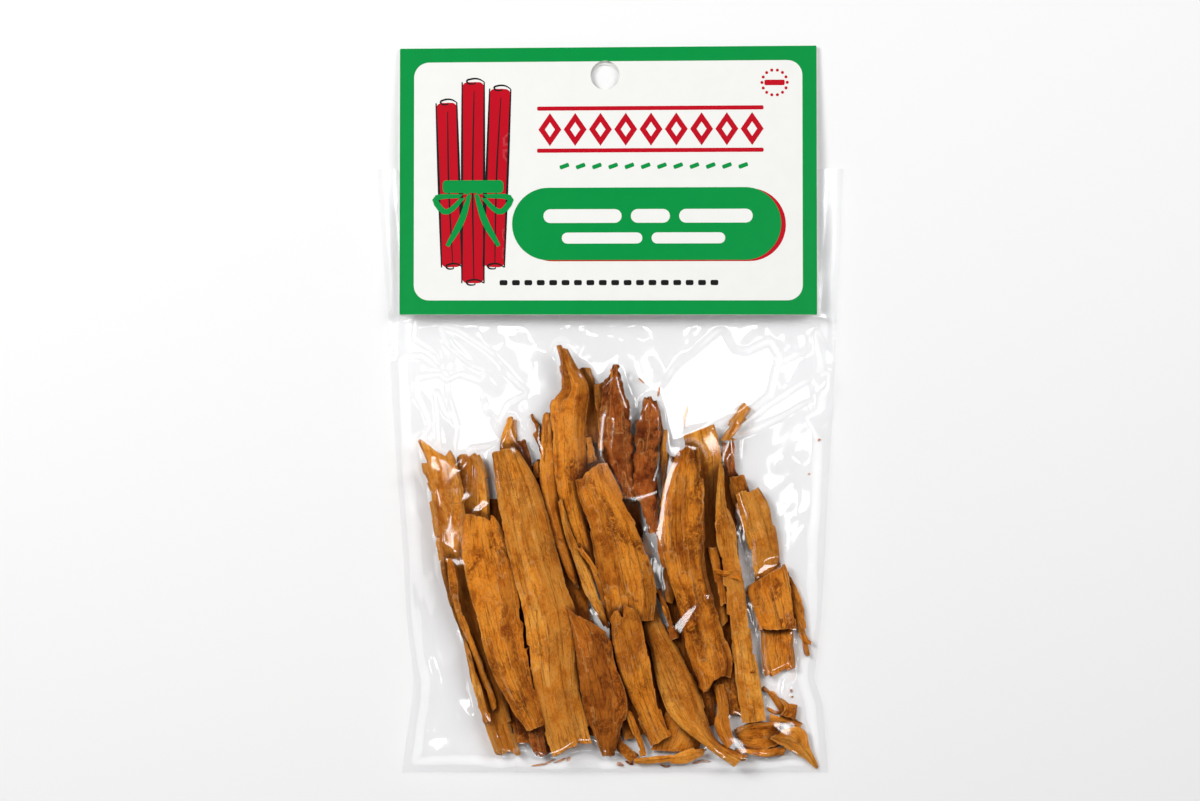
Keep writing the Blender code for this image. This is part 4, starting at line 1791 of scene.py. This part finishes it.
    def inlay(self, name: str, loops: list[Line], ink: Material, level: int,
              back: bool = False, joined: bool = False) -> Object:
        """Lay a field of ink on a panel.

        Args:
            name: The piece's name.
            loops: The field's outlines.
            ink: Its material.
            level: How many layers of ink lie under it, plus one.
            back: Whether it goes on the back panel.
            joined: Whether overlapping outlines are one field; if not, one inside another is a gap.

        Returns:
            The field's object.
        """
        drop = self.BACK_DROP if back else 0.0
        loops = loops + ([self.hole_rim(drop)] if level == 1 or name.endswith("field") else [])
        loops = [dense(loop) for loop in loops]
        corners = np.concatenate([np.array(loop) for loop in loops])
        edges, first = [], 0
        for loop in loops:
            edges += [(first + i, first + (i + 1) % len(loop)) for i in range(len(loop))]
            first += len(loop)
        low, high = corners.min(axis=0), corners.max(axis=0)
        across, up = (np.arange(low[axis] + 1, high[axis], self.GRID) for axis in (0, 1))
        inner = np.stack(np.meshgrid(across, up), -1).reshape(-1, 2)
        points = [Vector(p) for p in np.concatenate([corners, inner])]
        flat, _, triangles, _, _, _ = delaunay_2d_cdt(points, edges, [], 0, 1e-5)
        plan = np.array([(p.x, p.y) for p in flat])
        triangles = np.array(triangles)
        centre = plan[triangles].mean(axis=1)
        kept = np.zeros(len(triangles), bool)
        for loop in loops:
            within = inside_loop(centre[:, 0], centre[:, 1], loop)
            kept = kept | within if joined else kept ^ within
        triangles = triangles[kept]
        x, y = plan[:, 0], plan[:, 1]
        if back:
            z = self.back_z(x, y) - self.thick / 2 - self.INK * level
            triangles = triangles[:, ::-1]
        else:
            z = self.front_z(x, y) + self.thick / 2 + self.INK * level
        used, triangles = np.unique(triangles, return_inverse=True)
        sheet = np.stack([x, y + self.tilt(x, y), z], axis=-1)[used]
        return make_object(name, sheet, triangles.reshape(-1, 3), ink)

    def hole_rim(self, drop: float) -> Line:
        """Where a field of ink stops round the hang hole."""
        return disc(self.hole[0], self.high[1] - self.hole[1] - drop, self.hole_radius + 0.02, 64)

    def build(self) -> list[Object]:
        """Make the board and its print.

        Returns:
            The card's pieces, the board first.
        """
        paper = PaperFinish("card_paper", (0.83, 0.83, 0.80)).material()
        green = PaperFinish("ink_green", (0.0008, 0.272, 0.052), 0.28, 0.02).material()
        red = PaperFinish("ink_red", (0.50, 0.003, 0.014), 0.28, 0.02).material()
        white = PaperFinish("ink_white", (0.82, 0.82, 0.79), 0.4, 0.01).material()
        black = PaperFinish("ink_black", (0.010, 0.010, 0.010), 0.3, 0.02).material()
        border = rounded_box(tuple(v + 0.05 for v in self.low), tuple(v - 0.05 for v in self.high), 0.2, 2)
        field_low = tuple(v + self.margin for v in self.low)
        field_high = tuple(v - self.margin for v in self.high)
        window = rounded_box(field_low, field_high, self.corner)
        back_low, back_high = (self.low[0] + 6, self.low[1] + 6), (self.high[0] - 6, self.high[1] - 16)
        back_window = rounded_box(back_low, back_high, self.corner)
        return [
            self.board(paper),
            self.inlay("border_green", [border], green, 1),
            self.inlay("white_field", [window], white, 2),
            self.inlay("back_border_green", [border], green, 1, back=True),
            self.inlay("back_white_panel", [back_window], white, 2, back=True),
            self.inlay("panel_red", [self.pill(1.0, -0.25)], red, 3),
            self.inlay("panel_green", [self.pill(0.0, 0.0)], green, 4),
            self.inlay("panel_white_bars", self.bars(), white, 5),
            self.inlay("frieze_red", self.frieze(), red, 3),
            self.inlay("dashes_green", self.dashes(-11.0, 30.0, 53.0, 2.1, 0.9, 20.0), green, 3),
            self.inlay("dashes_black", self.dashes(-24.0, 23.5, 27.6, 1.7, 1.15, 0.0), black, 3),
            self.inlay("stamp_red", self.stamp(), red, 3),
            self.inlay("quills_red", self.quills(), red, 3, joined=True),
            self.inlay("quills_black", self.quill_lines(), black, 4, joined=True),
            self.inlay("ribbon_green", self.ribbon(), green, 5, joined=True),
        ]

    @staticmethod
    def pill(right: float, up: float) -> Line:
        """Outline of the long panel with round ends, moved a little."""
        return rounded_box((-21.3 + right, 32.5 + up), (37.2 + right, 48.3 + up), 7.89, 16)

    @staticmethod
    def bars() -> list[Line]:
        """Plain bars with round corners, a long row over a short one.

        Returns:
            The bars' outlines.
        """
        rows = ((42.1, 3.0, (-14.5, 2.5, 4.5, 13.0, 15.0, 31.0)), (37.3, 2.4, (-10.5, 7.0, 9.0, 25.0)))
        return [
            rounded_box((start, y - height / 2), (end, y + height / 2), height / 2 - 0.01, 5)
            for y, height, stops in rows
            for start, end in zip(stops[::2], stops[1::2])
        ]

    @staticmethod
    def frieze() -> list[Line]:
        """A band of lozenges between two rules.

        Returns:
            The outlines; each lozenge has a smaller one inside it.
        """
        loops = [
            rounded_box((-15.9, y - 0.45), (33.4, y + 0.45), 0.3, 3) for y in (65.6, 56.4)
        ]
        for number in range(9):
            x = -13.1 + number * 5.5
            loops.append(((x - 2.5, 61.0), (x, 57.4), (x + 2.5, 61.0), (x, 64.6)))
            loops.append(((x - 1.1, 61.0), (x, 59.4), (x + 1.1, 61.0), (x, 62.6)))
        return loops

    @staticmethod
    def dashes(start: float, end: float, y: float, length: float, height: float, lean: float) -> list[Line]:
        """A row of short dashes.

        Args:
            start: Where the row starts.
            end: Where it ends.
            y: Its middle's height.
            length: A dash's length.
            height: A dash's height.
            lean: How far a dash is turned, in degrees.

        Returns:
            The dashes' outlines.
        """
        count = int((end - start) / (length * 1.55))
        dash = rounded_box((-length / 2, -height / 2), (length / 2, height / 2), height * 0.3, 3)
        places = np.linspace(start + length / 2, end - length / 2, count)
        return [turned(dash, lean, float(x), y) for x in places]

    @staticmethod
    def stamp() -> list[Line]:
        """A small ring of dots round a bar.

        Returns:
            The dots' and the bar's outlines.
        """
        turns = [2 * math.pi * step / 14 for step in range(14)]
        dots = [disc(35.8 + 2.75 * math.cos(t), 71.0 + 2.75 * math.sin(t), 0.34, 12) for t in turns]
        return dots + [rounded_box((33.6, 70.4), (38.0, 71.6), 0.3, 3)]

    # Each stick's middle, length, width and lean; the last one lies on the others.
    QUILLS = ((-29.8, 49.5, 44.0, 4.8, 0.0), (-35.0, 49.0, 36.0, 4.5, 2.0), (-24.6, 50.5, 39.0, 4.6, -2.0))

    def quills(self) -> list[Line]:
        """Outlines of the three rolled sticks.

        Returns:
            The outlines.
        """
        loops = []
        for x, y, length, width, lean in self.QUILLS:
            half, reach = width / 2, length / 2
            loops.append(turned(rounded_box((-half, -reach), (half, reach), 1.2, 5), lean, x, y))
        return loops

    def quill_lines(self) -> list[Line]:
        """The sticks' drawn lines: long folds and a curl at each end.

        Returns:
            The lines' outlines.
        """
        loops = []
        for x, y, length, width, lean in self.QUILLS:
            reach, half = length / 2, width / 2
            drawn = [stroke(((side, -reach), (side, 0.0), (side, reach)), 0.5) for side in (-half, half)]
            drawn.append(stroke(((0.2, -reach + 1), (-0.1, 0.0), (0.2, reach - 2)), 0.35))
            for end in (-reach, reach):
                curl = tuple(
                    ((half - 0.28 * step) * math.cos(step * 0.9),
                     end + (0.9 - 0.1 * step) * math.sin(step * 0.9))
                    for step in range(8)
                )
                drawn.append(stroke(curl, 0.4))
            loops += [turned(line, lean, x, y) for line in drawn]
        return loops

    @staticmethod
    def ribbon() -> list[Line]:
        """The tie: a band round the sticks with two loops and two tails.

        Returns:
            The outlines.
        """
        x = -29.8
        loops = [rounded_box((-36.4, 47.2), (-23.2, 50.0), 0.8, 4)]
        for way in (-1, 1):
            bow = ((x + 0.8 * way, 47.6), (x + 6.4 * way, 43.2), (x + 8.2 * way, 45.6), (x + 1.2 * way, 46.6))
            tail = ((x + 0.7 * way, 46.9), (x + 2.6 * way, 41.0), (x + 5.6 * way, 35.6))
            loops += [stroke(bow, 1.3), stroke(tail, 1.5)]
        return loops


@dataclass(frozen=True)
class Studio:
    """Pale floor, two soft boxes at the pack's upper corners, and the camera straight above.

    Attributes:
        height: How far the camera is over the table.
        lens: The camera's focal length.
        aim: The middle of the view.
        box_size: Width and length of a soft box.
        box_place: Where the right-hand box hangs; the other mirrors it.
        box_power: A box's power in watts.
        key_size: Width and length of the key light, which the film doesn't mirror.
        key_place: Where it hangs.
        key_power: Its power in watts.
        wall: How bright the room's walls are above the pack.
        floor_level: How bright they are near the floor.
        ceiling: How bright the ceiling over the camera is.
    """

    height: float = 1090.0
    lens: float = 150.0
    aim: Point = (-2.2, 2.0)
    box_size: Point = (160.0, 460.0)
    box_place: tuple[float, float, float] = (350.0, 210.0, 575.0)
    box_power: float = 2.0
    key_size: Point = (260.0, 260.0)
    key_place: tuple[float, float, float] = (-480.0, 300.0, 620.0)
    key_power: float = 2.1
    wall: float = 0.38
    floor_level: float = 0.25
    ceiling: float = 0.02

    def build(self) -> None:
        """Make the floor, the lights and the camera."""
        self.floor()
        for number, side in enumerate((1.0, -1.0)):
            self.hang_light(f"soft_box_{number}", (side * self.box_place[0], *self.box_place[1:]),
                            self.box_size, self.box_power)
        key = self.hang_light("key", self.key_place, self.key_size, self.key_power)
        key.visible_glossy = False
        self.room()
        bpy.context.scene.view_settings.view_transform = "Standard"
        self.camera()

    def room(self) -> None:
        """Light the room's walls and leave its ceiling dark."""
        world = bpy.data.worlds.new("room")
        world.use_nodes = True
        nodes, links = world.node_tree.nodes, world.node_tree.links
        direction = nodes.new("ShaderNodeTexCoord").outputs["Generated"]
        height = nodes.new("ShaderNodeSeparateXYZ")
        links.new(direction, height.inputs[0])
        ramp = nodes.new("ShaderNodeValToRGB")
        links.new(height.outputs["Z"], ramp.inputs[0])
        stops = ((0.12, self.floor_level), (0.42, self.wall), (0.72, self.wall), (0.9, self.ceiling))
        for number, (place, level) in enumerate(stops):
            stop = ramp.color_ramp.elements[number] if number < 2 else ramp.color_ramp.elements.new(place)
            stop.position, stop.color = place, (level, level, level, 1.0)
        links.new(ramp.outputs["Color"], nodes["Background"].inputs["Color"])
        bpy.context.scene.world = world
        world.cycles_visibility.glossy = False

    def floor(self) -> None:
        """Lay the pale floor."""
        reach = 1500.0
        finish = PaperFinish("floor_pale", (0.87, 0.87, 0.87), 0.9, 0.0).material()
        points = np.array([(-reach, -reach, 0), (reach, -reach, 0), (reach, reach, 0), (-reach, reach, 0)])
        make_object("floor", points, np.array([[0, 1, 2, 3]]), finish)

    @staticmethod
    def hang_light(name: str, place: tuple[float, float, float], size: Point, power: float) -> Object:
        """Hang one soft box so that it faces the pack.

        Args:
            name: The light's name.
            place: Where it hangs.
            size: Its width and length.
            power: Its power in watts.

        Returns:
            The light's object.
        """
        light = bpy.data.lights.new(name, "AREA")
        light.shape, light.energy = "RECTANGLE", power
        light.size, light.size_y = (side * MM for side in size)
        box = bpy.data.objects.new(name, light)
        box.location = Vector(place) * MM
        box.rotation_euler = box.location.to_track_quat("Z", "Y").to_euler()
        bpy.context.scene.collection.objects.link(box)
        return box

    def camera(self) -> None:
        """Hang the camera straight above the pack."""
        eye = bpy.data.cameras.new("camera")
        eye.lens, eye.sensor_width, eye.clip_start = self.lens, 36.0, 0.01
        camera = bpy.data.objects.new("camera", eye)
        camera.location = Vector((*self.aim, self.height)) * MM
        camera.rotation_euler = Euler((0.0, 0.0, 0.0))
        bpy.context.scene.collection.objects.link(camera)
        bpy.context.scene.camera = camera


def box_in_mm(node: str) -> tuple[Point, Point]:
    """Lowest and highest x and y of a CAD node, in millimetres."""
    low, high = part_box(node)
    return (low.x / MM, low.y / MM), (high.x / MM, high.y / MM)


def main() -> None:
    """Build the pack's pieces from the bottom up, then the studio."""
    logging.basicConfig(level=logging.INFO, format="%(name)s: %(message)s")
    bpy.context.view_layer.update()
    bag_low, bag_high = box_in_mm("filled_bag")
    pile = HeightMap(bag_low, bag_high, PILE_CELL)
    for bark in [splint.build(pile) for splint in SPLINTS] + [Crumbs().build(pile)]:
        store_painted_shade(bark, pile)
        place(bark, "cinnamon_bark")
    LOG.info("the pile is %.1f mm high", pile.tops.max())
    film = FilmPouch().build(pile)
    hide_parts("filled_bag")
    place(film, "clear_film")
    card_low, card_high = box_in_mm("header_card")
    card = HeaderCard(card_low, card_high).build()
    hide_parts("header_card")
    for piece in card:
        place(piece, "printed_card")
    Studio().build()


if __name__ == "__main__":
    main()
